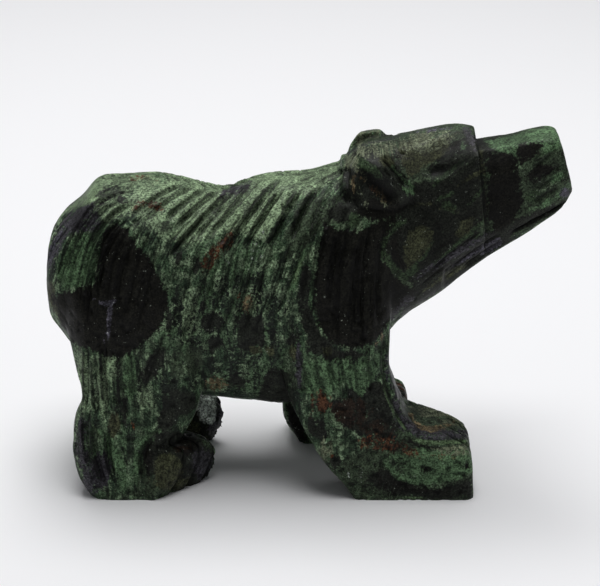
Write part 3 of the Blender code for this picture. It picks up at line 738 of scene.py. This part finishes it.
def leg_rings(sections, side, crisp, droop, reach):
    """Level sections of one leg, side -1 for the right and 1 for the left. The instep droops outward."""
    middle = (STANCE_WIDTH - LEG_WIDTH) / 2
    rings = []
    for z, back, front, outer, inner, corner, toe in shares(sections):
        back, front = back * LENGTH, front * LENGTH + reach * (z < TOE_TOP)
        out = middle + LEG_WIDTH / 2 * outer
        inside = middle - LEG_WIDTH / 2 * inner
        cut, toe_cut = corner * LEG_WIDTH, toe * LEG_WIDTH
        half_way = (back + front) / 2
        outline = [
            (half_way, inside),
            (front - cut, inside),
            (front, inside + cut),
            (front, max(out - toe_cut, inside + cut)),
            (front - toe_cut, out),
            (half_way, out),
            (back + cut, out),
            (back, out - cut),
            (back, inside + cut),
            (back + cut, inside),
        ]
        fall = droop * np.interp(z, DROOP_HEIGHTS, (0, 1, 1, 0))
        corners = [(x, side * y, z * HEIGHT - fall * (y - inside) / LEG_WIDTH) for x, y in outline]
        rings.append(ring_through(corners, crisp))
    return refine(rings, OTHER_STEPS)


def ear_rings(side):
    """One laid-back ear, stacked outward from inside the head."""
    outline = shares(EAR_OUTLINE) * (LENGTH, HEIGHT)
    centre = outline.mean(axis=0)
    rings = []
    for share, drawn_in in shares(EAR_LAYERS):
        flat = centre + (outline - centre) * (1 - drawn_in)
        flat[:, 1] += drawn_in * EAR_LIFT * HEIGHT
        ring = [(x, side * share * EAR_SPAN / 2, z) for x, z in flat]
        rings.append(ring_through(ring, EAR_CRISP))
    return refine(rings, OTHER_STEPS)


def rough_bear():
    """All the masses of the animal, still overlapping, as one mesh."""
    shape = bmesh.new()
    loft(shape, torso_rings())
    loft(shape, faceted_rings(HEAD, HEAD_WIDTH))
    loft(shape, faceted_rings(MUZZLE, MUZZLE_WIDTH))
    for side, fore_leg in ((-1, NEAR_FORE_LEG), (1, FAR_FORE_LEG)):
        loft(shape, leg_rings(HIND_LEG, side, HIND_LEG_CRISP, 0.0, FAR_TOE_REACH * (side > 0)))
        loft(shape, leg_rings(fore_leg, side, FORE_LEG_CRISP, INSTEP_DROOP, 0.0))
        loft(shape, ear_rings(side))
    bmesh.ops.recalc_face_normals(shape, faces=shape.faces)
    return mesh_of(shape, "bear")


def cut_between(first, last, share, t):
    """The places t of the cut that lies this share of the way from the first cut of a bundle to the last."""
    line = shares(first) * (1 - share) + shares(last) * share
    return curve_at(*line, t[:, None]) * (LENGTH, HEIGHT)


def cuts_of(bundle, wander):
    """The cuts of a bundle: curves spread evenly from its first to its last one, each a little astray."""
    first, last, count, width, depth = bundle
    for index in range(count):
        line = cut_between(first, last, index / max(count - 1, 1), np.linspace(0, 1, CUT_POINTS))
        astray = wander.uniform(-1, 1, 2) * CUT_WANDER * (count > 1)
        yield line + astray, width * CUT_WIDTH / 2, depth * CUT_DEPTH


def carve_cut(place, frayed, line, half_width, depth):
    """How deep one cut goes at each place of the drawing, with tapering ends and frayed rims."""
    half_width = half_width * CUT_NARROWING
    low, high = line.min(axis=0) - 2 * half_width, line.max(axis=0) + 2 * half_width
    near = np.nonzero(((place > low) & (place < high)).all(axis=1))[0]
    found = np.zeros(len(place))
    pieces = len(line) - 1
    for index in range(pieces):
        start, run = line[index], line[index + 1] - line[index]
        t = np.clip((place[near] - start) @ run / (run @ run), 0, 1)
        away = np.linalg.norm(place[near] - start - t[:, None] * run, axis=1) / half_width
        along = (index + t) / pieces
        taper = np.clip(np.minimum(along, 1 - along) / CUT_TAPER + CUT_END, 0, 1)
        away = np.maximum(away + frayed[near] * np.minimum(away, 1), 0)
        here = depth * taper * np.clip(1 - away**CUT_SHARPNESS, 0, 1)
        found[near] = np.maximum(found[near], here)
    return found


def end_cuts():
    """Upright cuts down the rump and the chest, drawn as (y, z) and facing back or forward."""
    for facing, low, high, share, count, depth in END_CUTS:
        for y in np.linspace(-share, share, count) * BODY_WIDTH / 2:
            line = np.linspace((y * END_CUT_SPREAD, high * HEIGHT), (y, low * HEIGHT), END_CUT_POINTS)
            yield facing, line, CUT_WIDTH / 2, depth * CUT_DEPTH


def toe_cuts():
    """Cuts between the toes, drawn as (y, z) on the front of each foot."""
    for side in (-1, 1):
        for toe in range(1, TOES):
            y = side * (STANCE_WIDTH / 2 - LEG_WIDTH * toe / TOES)
            top, foot = (y, TOE_CUT_RISE * TOE_TOP * HEIGHT), (y, -TOE_TOP * HEIGHT)
            line = np.linspace(top, foot, END_CUT_POINTS)
            yield line, TOE_WIDTH / 2, TOE_DEPTH


def apply_modifiers(bear):
    """Replaces the mesh by what its modifiers make of it."""
    graph = bpy.context.evaluated_depsgraph_get()
    worked = bpy.data.meshes.new_from_object(bear.evaluated_get(graph))
    bear.modifiers.clear()
    bear.data = worked


def one_stone(bear):
    """Joins the overlapping masses into one skin of even, fine faces and softens it a little."""
    remesh = bear.modifiers.new("one stone", "REMESH")
    remesh.mode = "VOXEL"
    remesh.voxel_size = GRAIN
    soften = bear.modifiers.new("soften", "SMOOTH")
    soften.factor = SOFTENING
    soften.iterations = SOFTENINGS
    apply_modifiers(bear)


def points_and_normals(mesh):
    count = len(mesh.vertices)
    place, normal = np.empty(count * 3), np.empty(count * 3)
    mesh.vertices.foreach_get("co", place)
    mesh.vertices.foreach_get("normal", normal)
    return place.reshape(-1, 3), normal.reshape(-1, 3)


def move_points(mesh, place):
    mesh.vertices.foreach_set("co", place.ravel())
    mesh.update()


def drawing_of(place):
    """The places of the drawing: the animal as seen from its side and a little from above."""
    return np.stack([place[:, 0], place[:, 2] - LOOK_DOWN * abs(place[:, 1])], axis=1)


def smooth_step(value, low, high):
    t = np.clip((value - low) / (high - low), 0, 1)
    return t * t * (3 - 2 * t)


def full_where(facing, limits):
    """A share from 0 to 1 that grows as the facing goes from the first limit to the second."""
    return np.clip((facing - limits[0]) / (limits[1] - limits[0]), 0, 1)


def rough_noise(place, size):
    """Smooth noise between -1 and 1 with bumps of this size."""
    return np.array([noise.noise(Vector(point)) for point in place / size])


def scratches_of(bundle, whim):
    """Short thin scratches that a tool left between the cuts of a bundle."""
    first, last, count, width, depth = bundle
    for _ in range(round(SCRATCHES * count) * (count > 1)):
        share, begin = whim.uniform(*SCRATCH_SPREAD), whim.uniform(0, 1 - SCRATCH_LENGTH)
        t = np.linspace(begin, begin + SCRATCH_LENGTH, SCRATCH_POINTS)
        thin, shallow = SCRATCH_SIZE
        line = cut_between(first, last, share, t)
        yield line, thin * width * CUT_WIDTH / 2, shallow * depth * CUT_DEPTH


def side_cuts(side):
    """The cuts of one side, each where the solid has it and as long and deep as the hand made it."""
    wander, whim = np.random.default_rng(SEED + side), np.random.default_rng(WHIM_SEED + side)
    for bundle in BUNDLES:
        for line, half_width, deep in cuts_of(bundle, wander):
            if bundle[2] > 1:
                line = line[whim.integers(CUT_LOST[0]) : CUT_POINTS - whim.integers(CUT_LOST[1])]
                half_width = half_width * whim.uniform(*CUT_WIDTHS)
                deep = deep * whim.uniform(*CUT_DEPTHS)
            yield line, half_width, deep
        yield from scratches_of(bundle, whim)


def all_cuts(place, normal, fading):
    """Every cut, with how fully it shows at each point of the stone and where its drawing has the point."""
    side_drawing, end_drawing = drawing_of(place), place[:, 1:]
    for side in (-1, 1):
        facing = side * normal[:, 1] + LOOK_DOWN * normal[:, 2]
        shown = full_where(facing, SIDE_FACING) * full_where(place[:, 1] * side, (0, SPINE_KEEP)) * fading
        for cut in side_cuts(side):
            yield shown, side_drawing, cut
    for facing, *cut in end_cuts():
        yield full_where(facing * normal[:, 0], END_FACING) * fading, end_drawing, cut
    shown = full_where(normal[:, 0], TOE_FACING) * np.where(place[:, 0] < 0, HIND_TOE_SHARE, 1.0)
    for cut in toe_cuts():
        yield shown, end_drawing, cut


def cut_depth(place, normal):
    """How deep the cuts go at every point of the stone."""
    frayed = CUT_FRAY * rough_noise(place, FRAY_SIZE)
    fading = 1 + CUT_FADING * rough_noise(place, FADING_SIZE)
    depth = np.zeros(len(place))
    for shown, drawing, cut in all_cuts(place, normal, fading):
        depth = np.maximum(depth, shown * carve_cut(drawing, frayed, *cut))
    return depth


def fur_flow(place):
    """A number for each place that stays the same along the fur and the veins, and changes across them."""
    x, v = drawing_of(place).T
    rise = np.clip((v / HEIGHT - FUR_FOOT) / FUR_RISE, 0, 1)
    along_body = x - FUR_SWEEP * rise**2
    along_jaw = v * np.cos(JAW_SLOPE) - x * np.sin(JAW_SLOPE)
    share = smooth_step(x / LENGTH, *HEAD_BACK) * smooth_step(v / HEIGHT, *HEAD_LOW)
    foot = (1 - smooth_step(v / HEIGHT, *FOOT_TOP)) * smooth_step(x / LENGTH, *FOOT_BACK)
    return (along_body * (1 - share) + along_jaw * share) * (1 - foot) + v * foot


def convexity(mesh, place, normal):
    """How far each point stands above its neighbours, in metres: below zero in grooves."""
    ends = np.empty(len(mesh.edges) * 2, int)
    mesh.edges.foreach_get("vertices", ends)
    first, second = ends.reshape(-1, 2).T
    count = np.bincount(ends, minlength=len(place))[:, None]
    middle = place
    for _ in range(CONVEXITY_REACH):
        total = np.zeros_like(place)
        np.add.at(total, first, middle[second])
        np.add.at(total, second, middle[first])
        middle = total / np.maximum(count, 1)
    return ((place - middle) * normal).sum(axis=1)


def hand_marks(mesh, place, normal):
    """How far each point stands above an even surface: waves, strokes, pits low down and chipped edges."""
    uneven = UNEVEN_DEPTH * rough_noise(place, UNEVEN_SIZE)
    flow = fur_flow(place)
    across, along = flow / STROKE_WIDTH, place / STROKE_LENGTH
    strokes = np.stack([across, along[:, 2], along[:, 1]], axis=1)
    scratched = STROKE_DEPTH * rough_noise(strokes, 1.0)
    raw = RAW_LOW - smooth_step(drawing_of(place)[:, 1] / HEIGHT, *RAW_HEIGHTS)
    pits = PIT_DEPTH * raw * smooth_step(rough_noise(place, PIT_SIZE), *PIT_NOISE)
    edges = smooth_step(convexity(mesh, place, normal), *CHIP_BULGE)
    chips = CHIP_DEPTH * edges * smooth_step(rough_noise(place, CHIP_SIZE), *CHIP_NOISE)
    return uneven + scratched - pits - chips


def carve(bear):
    """Sinks every cut into the stone, then leaves the marks of the hand and the tool on it."""
    place, normal = points_and_normals(bear.data)
    sunk = cut_depth(place, normal)
    move_points(bear.data, place - normal * sunk[:, None])
    place, normal = points_and_normals(bear.data)
    marks = hand_marks(bear.data, place, normal) * (1 - smooth_step(sunk, 0, CUT_DEPTH))
    move_points(bear.data, place + normal * marks[:, None])


def thin_out(bear):
    """Fewer triangles, fine where the carving needs them."""
    bear.data.calc_loop_triangles()
    thin = bear.modifiers.new("thin out", "DECIMATE")
    thin.ratio = MOST_TRIANGLES / len(bear.data.loop_triangles)
    apply_modifiers(bear)


def drop_crumbs(shape):
    """Leaves only the stone itself: specks that came loose from its skin go."""
    waiting, parts = set(shape.verts), []
    while waiting:
        rim = [waiting.pop()]
        parts.append(list(rim))
        while rim:
            corner = rim.pop()
            beside = {edge.other_vert(corner) for edge in corner.link_edges} & waiting
            waiting -= beside
            rim.extend(beside)
            parts[-1].extend(beside)
    parts.sort(key=len)
    crumbs = [corner for part in parts[:-1] for corner in part]
    bmesh.ops.delete(shape, geom=crumbs, context="VERTS")


def drop_flaps(shape):
    """Leaves out every fold of the skin that is two faces back to back."""
    seen, flaps = {}, []
    for face in shape.faces:
        corners = frozenset(face.verts)
        flaps += [face, seen[corners]] if corners in seen else []
        seen[corners] = face
    bmesh.ops.delete(shape, geom=flaps, context="FACES")


def flatten_soles(bear):
    """Cuts the feet off level with the ground and closes each sole with one flat face."""
    shape = bmesh.new()
    shape.from_mesh(bear.data)
    everything = shape.verts[:] + shape.edges[:] + shape.faces[:]
    bmesh.ops.bisect_plane(
        shape, geom=everything, dist=LEVEL, plane_co=(0, 0, 0), plane_no=(0, 0, -1), clear_outer=True
    )
    drop_crumbs(shape)
    rims = [edge for edge in shape.edges if edge.is_boundary]
    bmesh.ops.holes_fill(shape, edges=rims)
    bmesh.ops.triangulate(shape, faces=shape.faces)
    drop_flaps(shape)
    for face in shape.faces:
        face.smooth = face.calc_center_median().z > LEVEL
    shape.to_mesh(bear.data)
    shape.free()


def centre(bear):
    """Moves the stone so that the middle of its length and width is over the origin."""
    corners = np.array([corner[:] for corner in bear.bound_box])
    middle = (corners.min(axis=0) + corners.max(axis=0)) / 2
    bear.data.transform(Matrix.Translation((-middle[0], -middle[1], 0.0)))


def seen_at(place, nearer):
    """The pixel of the photograph where each place shows, if it is this much nearer than the middle."""
    right = place[:, 0] - VIEW_MIDDLE[0]
    above = place[:, 2] - VIEW_MIDDLE[1]
    away = VIEW_DISTANCE - nearer * math.cos(VIEW_TILT) - above * math.sin(VIEW_TILT)
    up = above * math.cos(VIEW_TILT) - nearer * math.sin(VIEW_TILT)
    zoom = FOCAL_LENGTH / SENSOR * PICTURE[0] / away
    return np.stack([PICTURE[0] / 2 + right * zoom, PICTURE[1] / 2 - up * zoom], axis=1)


def inside_patch(seen, *corners):
    """How far inside the patch each pixel is, and less than zero outside."""
    corners = np.reshape(corners, (-1, 2)).astype(float)
    nearest = np.full(len(seen), FAR_AWAY)
    inside = np.zeros(len(seen), bool)
    for start, end in zip(corners, np.roll(corners, -1, axis=0)):
        run, out = end - start, seen - start
        t = np.clip(out @ run / (run @ run), 0, 1)
        nearest = np.minimum(nearest, np.linalg.norm(out - t[:, None] * run, axis=1))
        between = (start[1] <= seen[:, 1]) != (end[1] <= seen[:, 1])
        crossing = start[0] + run[0] * out[:, 1] / (run[1] or 1.0)
        inside ^= between & (seen[:, 0] < crossing)
    return np.where(inside, nearest, -nearest)


def inside_oval(seen, x, y, half_width, half_height, turn=0):
    """How far inside the oval each pixel is."""
    turn = math.radians(turn)
    right, down = (seen - (x, y)).T
    across = (right * math.cos(turn) + down * math.sin(turn)) / half_width
    along = (down * math.cos(turn) - right * math.sin(turn)) / half_height
    return (1 - np.hypot(across, along)) * min(half_width, half_height)


def inside_vein(seen, *vein):
    """How far inside the vein each pixel is. It runs in a curve and thins out towards its ends."""
    *points, half_width = vein
    line = np.reshape(points, (-1, 2))
    found = np.full(len(seen), -FAR_AWAY)
    for t in np.linspace(0, 1, VEIN_STEPS):
        reach = half_width * (VEIN_END + (1 - VEIN_END) * math.sin(math.pi * t))
        found = np.maximum(found, reach - np.linalg.norm(seen - curve_at(*line, t), axis=1))
    return found


def stone_field(seen, name, fullness, more_ovals):
    """How far inside this kind of stone each pixel of one side is, in millimetres."""
    kinds = ((inside_patch, PATCHES), (inside_oval, OVALS), (inside_oval, more_ovals), (inside_vein, VEINS))
    found = np.full(len(seen), -FAR_AWAY)
    for inside, table in kinds:
        for mark in table.get(name, []):
            found = np.maximum(found, inside(seen, *mark))
    return np.clip(found * PIXEL, LEAST_FIELD, fullness)


def store(mesh, name, values):
    layer = mesh.attributes.new(name, "FLOAT", "POINT")
    layer.data.foreach_set("value", values.astype(np.float32))


def map_stone(bear):
    """Keeps at every point of the mesh what its colour and finish need to know."""
    place, normal = points_and_normals(bear.data)
    astray = [MARK_WANDER * rough_noise(place + step, MARK_WANDER_SIZE) for step in (0.0, NOISE_APART)]
    astray = np.stack(astray, axis=1)
    near_seen = seen_at(place, -place[:, 1]) + astray
    far_seen = seen_at(place, place[:, 1]) + astray + FAR_STRAY
    far = smooth_step(place[:, 1], *FAR_BLEND)
    sides = smooth_step(abs(normal[:, 1]) + LOOK_DOWN * normal[:, 2], *SMALL_FACING)
    for index, (name, _, _, _, fullness) in enumerate(STONES):
        field = stone_field(near_seen, name, fullness, {}) * (1 - far)
        field += stone_field(far_seen, name, fullness, FAR_OVALS) * far
        store(bear.data, name, field if index < SMALL else field * sides + LEAST_FIELD * (1 - sides))
    store(bear.data, "flow", fur_flow(place) * MILLIMETRES)
    # Cut depth: the cuts are darkened with painted shade and dirt, and made rougher.
    store(bear.data, "groove", cut_depth(place, normal) / CUT_DEPTH)
    # Convexity: ridges are lightened for wear and a painted highlight, hollows darkened with painted shade.
    store(bear.data, "wear_and_shade", np.clip(convexity(bear.data, place, normal) / WEAR_AND_SHADE_HEIGHT, -1, 1))


def add_node(tree, kind, inputs=None, **settings):
    """A node with its settings, and its inputs either linked to a socket or set to a value."""
    made = tree.nodes.new(kind)
    for name, value in settings.items():
        setattr(made, name, value)
    for name, value in (inputs or {}).items():
        if isinstance(value, bpy.types.NodeSocket):
            tree.links.new(value, made.inputs[name])
        else:
            made.inputs[name].default_value = value
    return made


def combine(tree, operation, first, second, clamp=False):
    made = add_node(tree, "ShaderNodeMath", {0: first, 1: second}, operation=operation, use_clamp=clamp)
    return made.outputs[0]


def times(tree, first, second):
    return combine(tree, "MULTIPLY", first, second)


def speckle(tree, vector, size, detail, roughness):
    """Noise from 0 to 1 with spots of this size, in metres."""
    inputs = {"Vector": vector, "Scale": 1 / size, "Detail": detail, "Roughness": roughness}
    return add_node(tree, "ShaderNodeTexNoise", inputs).outputs["Fac"]


def ramp(tree, value, low, high, to_low=0.0, to_high=1.0):
    """A smooth step of the value from low to high."""
    inputs = {"Value": value, "From Min": low, "From Max": high, "To Min": to_low, "To Max": to_high}
    return add_node(tree, "ShaderNodeMapRange", inputs, interpolation_type="SMOOTHSTEP").outputs["Result"]


def spread(tree, vector, kind, to_low=0.0, to_high=1.0):
    """Noise of one kind, from the first number where it is not there yet to the second where it is full."""
    *spots, low, high = kind
    return ramp(tree, speckle(tree, vector, *spots), low, high, to_low, to_high)


def blend(tree, share, first, second, mode="MIX"):
    """One colour laid over another. Each is a socket or a colour of red, green and blue."""
    made = add_node(tree, "ShaderNodeMix", data_type="RGBA", blend_type=mode)
    for index, value in zip(MIX_INPUTS, (share, first, second)):
        if isinstance(value, bpy.types.NodeSocket):
            tree.links.new(value, made.inputs[index])
        else:
            made.inputs[index].default_value = (*value, 1.0) if isinstance(value, tuple) else value
    return made.outputs[MIX_RESULT]


def attribute(tree, name):
    return add_node(tree, "ShaderNodeAttribute", attribute_name=name).outputs["Fac"]


def along_fur(tree, place, flow):
    """Coordinates that are drawn out along the fur, so that noise on them gives streaks."""
    parts = add_node(tree, "ShaderNodeSeparateXYZ", {"Vector": place}).outputs
    across = times(tree, flow, 1 / MILLIMETRES)
    along = combine(tree, "ADD", parts[0], parts[2])
    inputs = {"X": across, "Y": times(tree, parts[1], STREAK_SHARE), "Z": times(tree, along, STREAK_SHARE)}
    return add_node(tree, "ShaderNodeCombineXYZ", inputs).outputs["Vector"]


def ground_colour(tree, place, streaks):
    """The mottled green that lies under every mark."""
    colour = blend(tree, spread(tree, place, CLOUDS), GREEN_DEEP, GREEN_MID)
    colour = blend(tree, spread(tree, place, LUMPS), colour, GREEN_LIGHT)
    fibres = times(tree, spread(tree, streaks, FIBRES), FIBRE_SHARE)
    colour = blend(tree, fibres, colour, GREEN_LIGHT)
    spots = times(tree, spread(tree, streaks, SPOTS), SPOT_SHARE)
    return blend(tree, spots, colour, GREEN_BLACK)


def ragged_edge(tree, place, streaks):
    """What frays the outlines of the marks, around zero: lumps drawn out along the fur, and specks."""
    lumps, specks = speckle(tree, streaks, *EDGE_LUMPS), speckle(tree, place, *EDGE_SPECKS)
    lumps = times(tree, lumps, RAGGED_SHARES[0])
    specks = times(tree, specks, RAGGED_SHARES[1])
    return combine(tree, "SUBTRACT", combine(tree, "ADD", lumps, specks), sum(RAGGED_SHARES) / 2)


def brighten(tree, colour, factor):
    """A colour times a number."""
    grey = add_node(tree, "ShaderNodeCombineColor", {0: factor, 1: factor, 2: factor}).outputs[0]
    return blend(tree, 1.0, colour, grey, "MULTIPLY")


def shading(tree, place, streaks, groove, wear_and_shade):
    """How bright the colour is made: ridges lighter for wear and a painted highlight, hollows darker with
    painted shade, cuts darker with painted shade and dirt, and grainy all over.
    """
    # Ridges lighter for wear and a painted highlight; hollows and cuts darker with painted shade, the cuts
    # with dirt too.
    shade = ramp(tree, wear_and_shade, *WEAR_AND_SHADE_RANGE, 1.0, 1 + RIDGE_WEAR_AND_HIGHLIGHT)
    sunk = ramp(tree, wear_and_shade, -WEAR_AND_SHADE_RANGE[1], -WEAR_AND_SHADE_RANGE[0], 1 - HOLLOW_SHADE, 1.0)
    cut = ramp(tree, groove, *CUT_SHADED, 1.0, 1 - GROOVE_SHADE)
    clouds = spread(tree, place, SHADE_CLOUDS, 1 - CLOUD_SPREAD, 1 + CLOUD_SPREAD)
    fibres = spread(tree, streaks, SHADE_FIBRES, 1 - FIBRE_SPREAD, 1 + FIBRE_SPREAD)
    grain = spread(tree, place, SHADE_GRAIN, 1 - GRAIN_SPREAD, 1 + GRAIN_SPREAD)
    for factor in (sunk, cut, clouds, fibres, grain):
        shade = times(tree, shade, factor)
    return shade


def stone_colour(tree, place, streaks, groove, wear_and_shade):
    colour = ground_colour(tree, place, streaks)
    ragged = ragged_edge(tree, place, streaks)
    for name, stone, softness, raggedness, _ in STONES:
        edge = times(tree, ragged, RAGGED_REACH * raggedness)
        field = combine(tree, "ADD", attribute(tree, name), edge)
        colour = blend(tree, ramp(tree, field, -softness / 2, softness / 2), colour, stone)
    # Pale flecks of the stone, with painted glints among them.
    clusters = spread(tree, place, CLUSTERS, -CLUSTER_SHIFT, CLUSTER_SHIFT)
    flecks_and_glints = combine(tree, "ADD", speckle(tree, place, *FLECK_AND_GLINT_NOISE), clusters)
    colour = blend(tree, ramp(tree, flecks_and_glints, *FLECK_AND_GLINT_FROM, 0.0, FLECK_AND_GLINT_SHARE), colour, FLECK_AND_GLINT)
    return brighten(tree, colour, shading(tree, place, streaks, groove, wear_and_shade))


def jasper():
    """Mottled green and black stone, rubbed to a low sheen."""
    stone = bpy.data.materials.new("jasper_stone")
    stone.use_nodes = True
    tree = stone.node_tree
    shader = tree.nodes["Principled BSDF"]
    place = add_node(tree, "ShaderNodeTexCoord").outputs["Object"]
    groove, wear_and_shade = attribute(tree, "groove"), attribute(tree, "wear_and_shade")
    streaks = along_fur(tree, place, attribute(tree, "flow"))
    tree.links.new(stone_colour(tree, place, streaks, groove, wear_and_shade), shader.inputs["Base Color"])
    sheen = spread(tree, place, SHEEN, *ROUGHNESS)
    rough = combine(tree, "ADD", sheen, times(tree, groove, CUT_ROUGHNESS), clamp=True)
    tree.links.new(rough, shader.inputs["Roughness"])
    fine, drawn = speckle(tree, place, *FINE_GRAIN), speckle(tree, streaks, *DRAWN_GRAIN)
    height = combine(tree, "ADD", fine, times(tree, drawn, DRAWN_SHARE))
    relief = {"Strength": GRAIN_BUMP, "Distance": GRAIN_HEIGHT, "Height": height}
    bump = add_node(tree, "ShaderNodeBump", relief).outputs["Normal"]
    tree.links.new(bump, shader.inputs["Normal"])
    shader.inputs["Metallic"].default_value = 0.0
    shader.inputs["Specular IOR Level"].default_value = SPECULAR
    return stone


def put_in_scene(name, data):
    made = bpy.data.objects.new(name, data)
    bpy.context.scene.collection.objects.link(made)
    return made


def floor():
    """One wide pale sheet that the bear stands on."""
    shape = bmesh.new()
    bmesh.ops.create_grid(shape, x_segments=1, y_segments=1, size=FLOOR_HALF)
    sheet = put_in_scene("floor", mesh_of(shape, "floor"))
    paper = bpy.data.materials.new("white_paper")
    paper.use_nodes = True
    shader = paper.node_tree.nodes["Principled BSDF"]
    shader.inputs["Base Color"].default_value = (*PAPER, 1.0)
    shader.inputs["Roughness"].default_value = PAPER_ROUGHNESS
    shader.inputs["Specular IOR Level"].default_value = PAPER_SPECULAR
    sheet.data.materials.append(paper)


def area_light(name, place, aim, size, power):
    lamp = bpy.data.lights.new(name, "AREA")
    lamp.shape = "RECTANGLE"
    lamp.size, lamp.size_y = size
    lamp.energy = power
    held = put_in_scene(name, lamp)
    held.location = place
    held.rotation_euler = (Vector(aim) - Vector(place)).to_track_quat("-Z", "Y").to_euler()


def light_room():
    """A pale room of even light, with a large soft light above and behind the bear."""
    world = bpy.data.worlds.new("pale_room")
    world.use_nodes = True
    background = world.node_tree.nodes["Background"]
    background.inputs["Color"].default_value = (*ROOM, 1.0)
    background.inputs["Strength"].default_value = ROOM_LIGHT
    bpy.context.scene.world = world
    area_light("key", KEY_PLACE, KEY_AIM, KEY_SIZE, KEY_POWER)
    area_light("back", BACK_PLACE, BACK_AIM, BACK_SIZE, BACK_POWER)


def add_camera():
    """The photograph's view: from the bear's right side and a little above."""
    lens = bpy.data.cameras.new("camera")
    lens.sensor_width = SENSOR
    lens.lens = FOCAL_LENGTH
    lens.clip_start, lens.clip_end = CLIP
    camera = put_in_scene("camera", lens)
    back = Vector((0.0, -math.cos(VIEW_TILT), math.sin(VIEW_TILT)))
    camera.location = Vector((VIEW_MIDDLE[0], 0.0, VIEW_MIDDLE[1])) + back * VIEW_DISTANCE
    camera.rotation_euler = (math.pi / 2 - VIEW_TILT, 0.0, 0.0)
    bpy.context.scene.camera = camera


def make_bear():
    bear = put_in_scene("carved_bear", rough_bear())
    bpy.context.view_layer.update()
    one_stone(bear)
    carve(bear)
    thin_out(bear)
    flatten_soles(bear)
    centre(bear)
    map_stone(bear)
    bear.data.materials.clear()
    bear.data.materials.append(jasper())
    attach(bear, "root")
    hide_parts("bear")


bpy.context.scene.view_settings.view_transform = "Standard"
make_bear()
floor()
light_room()
add_camera()
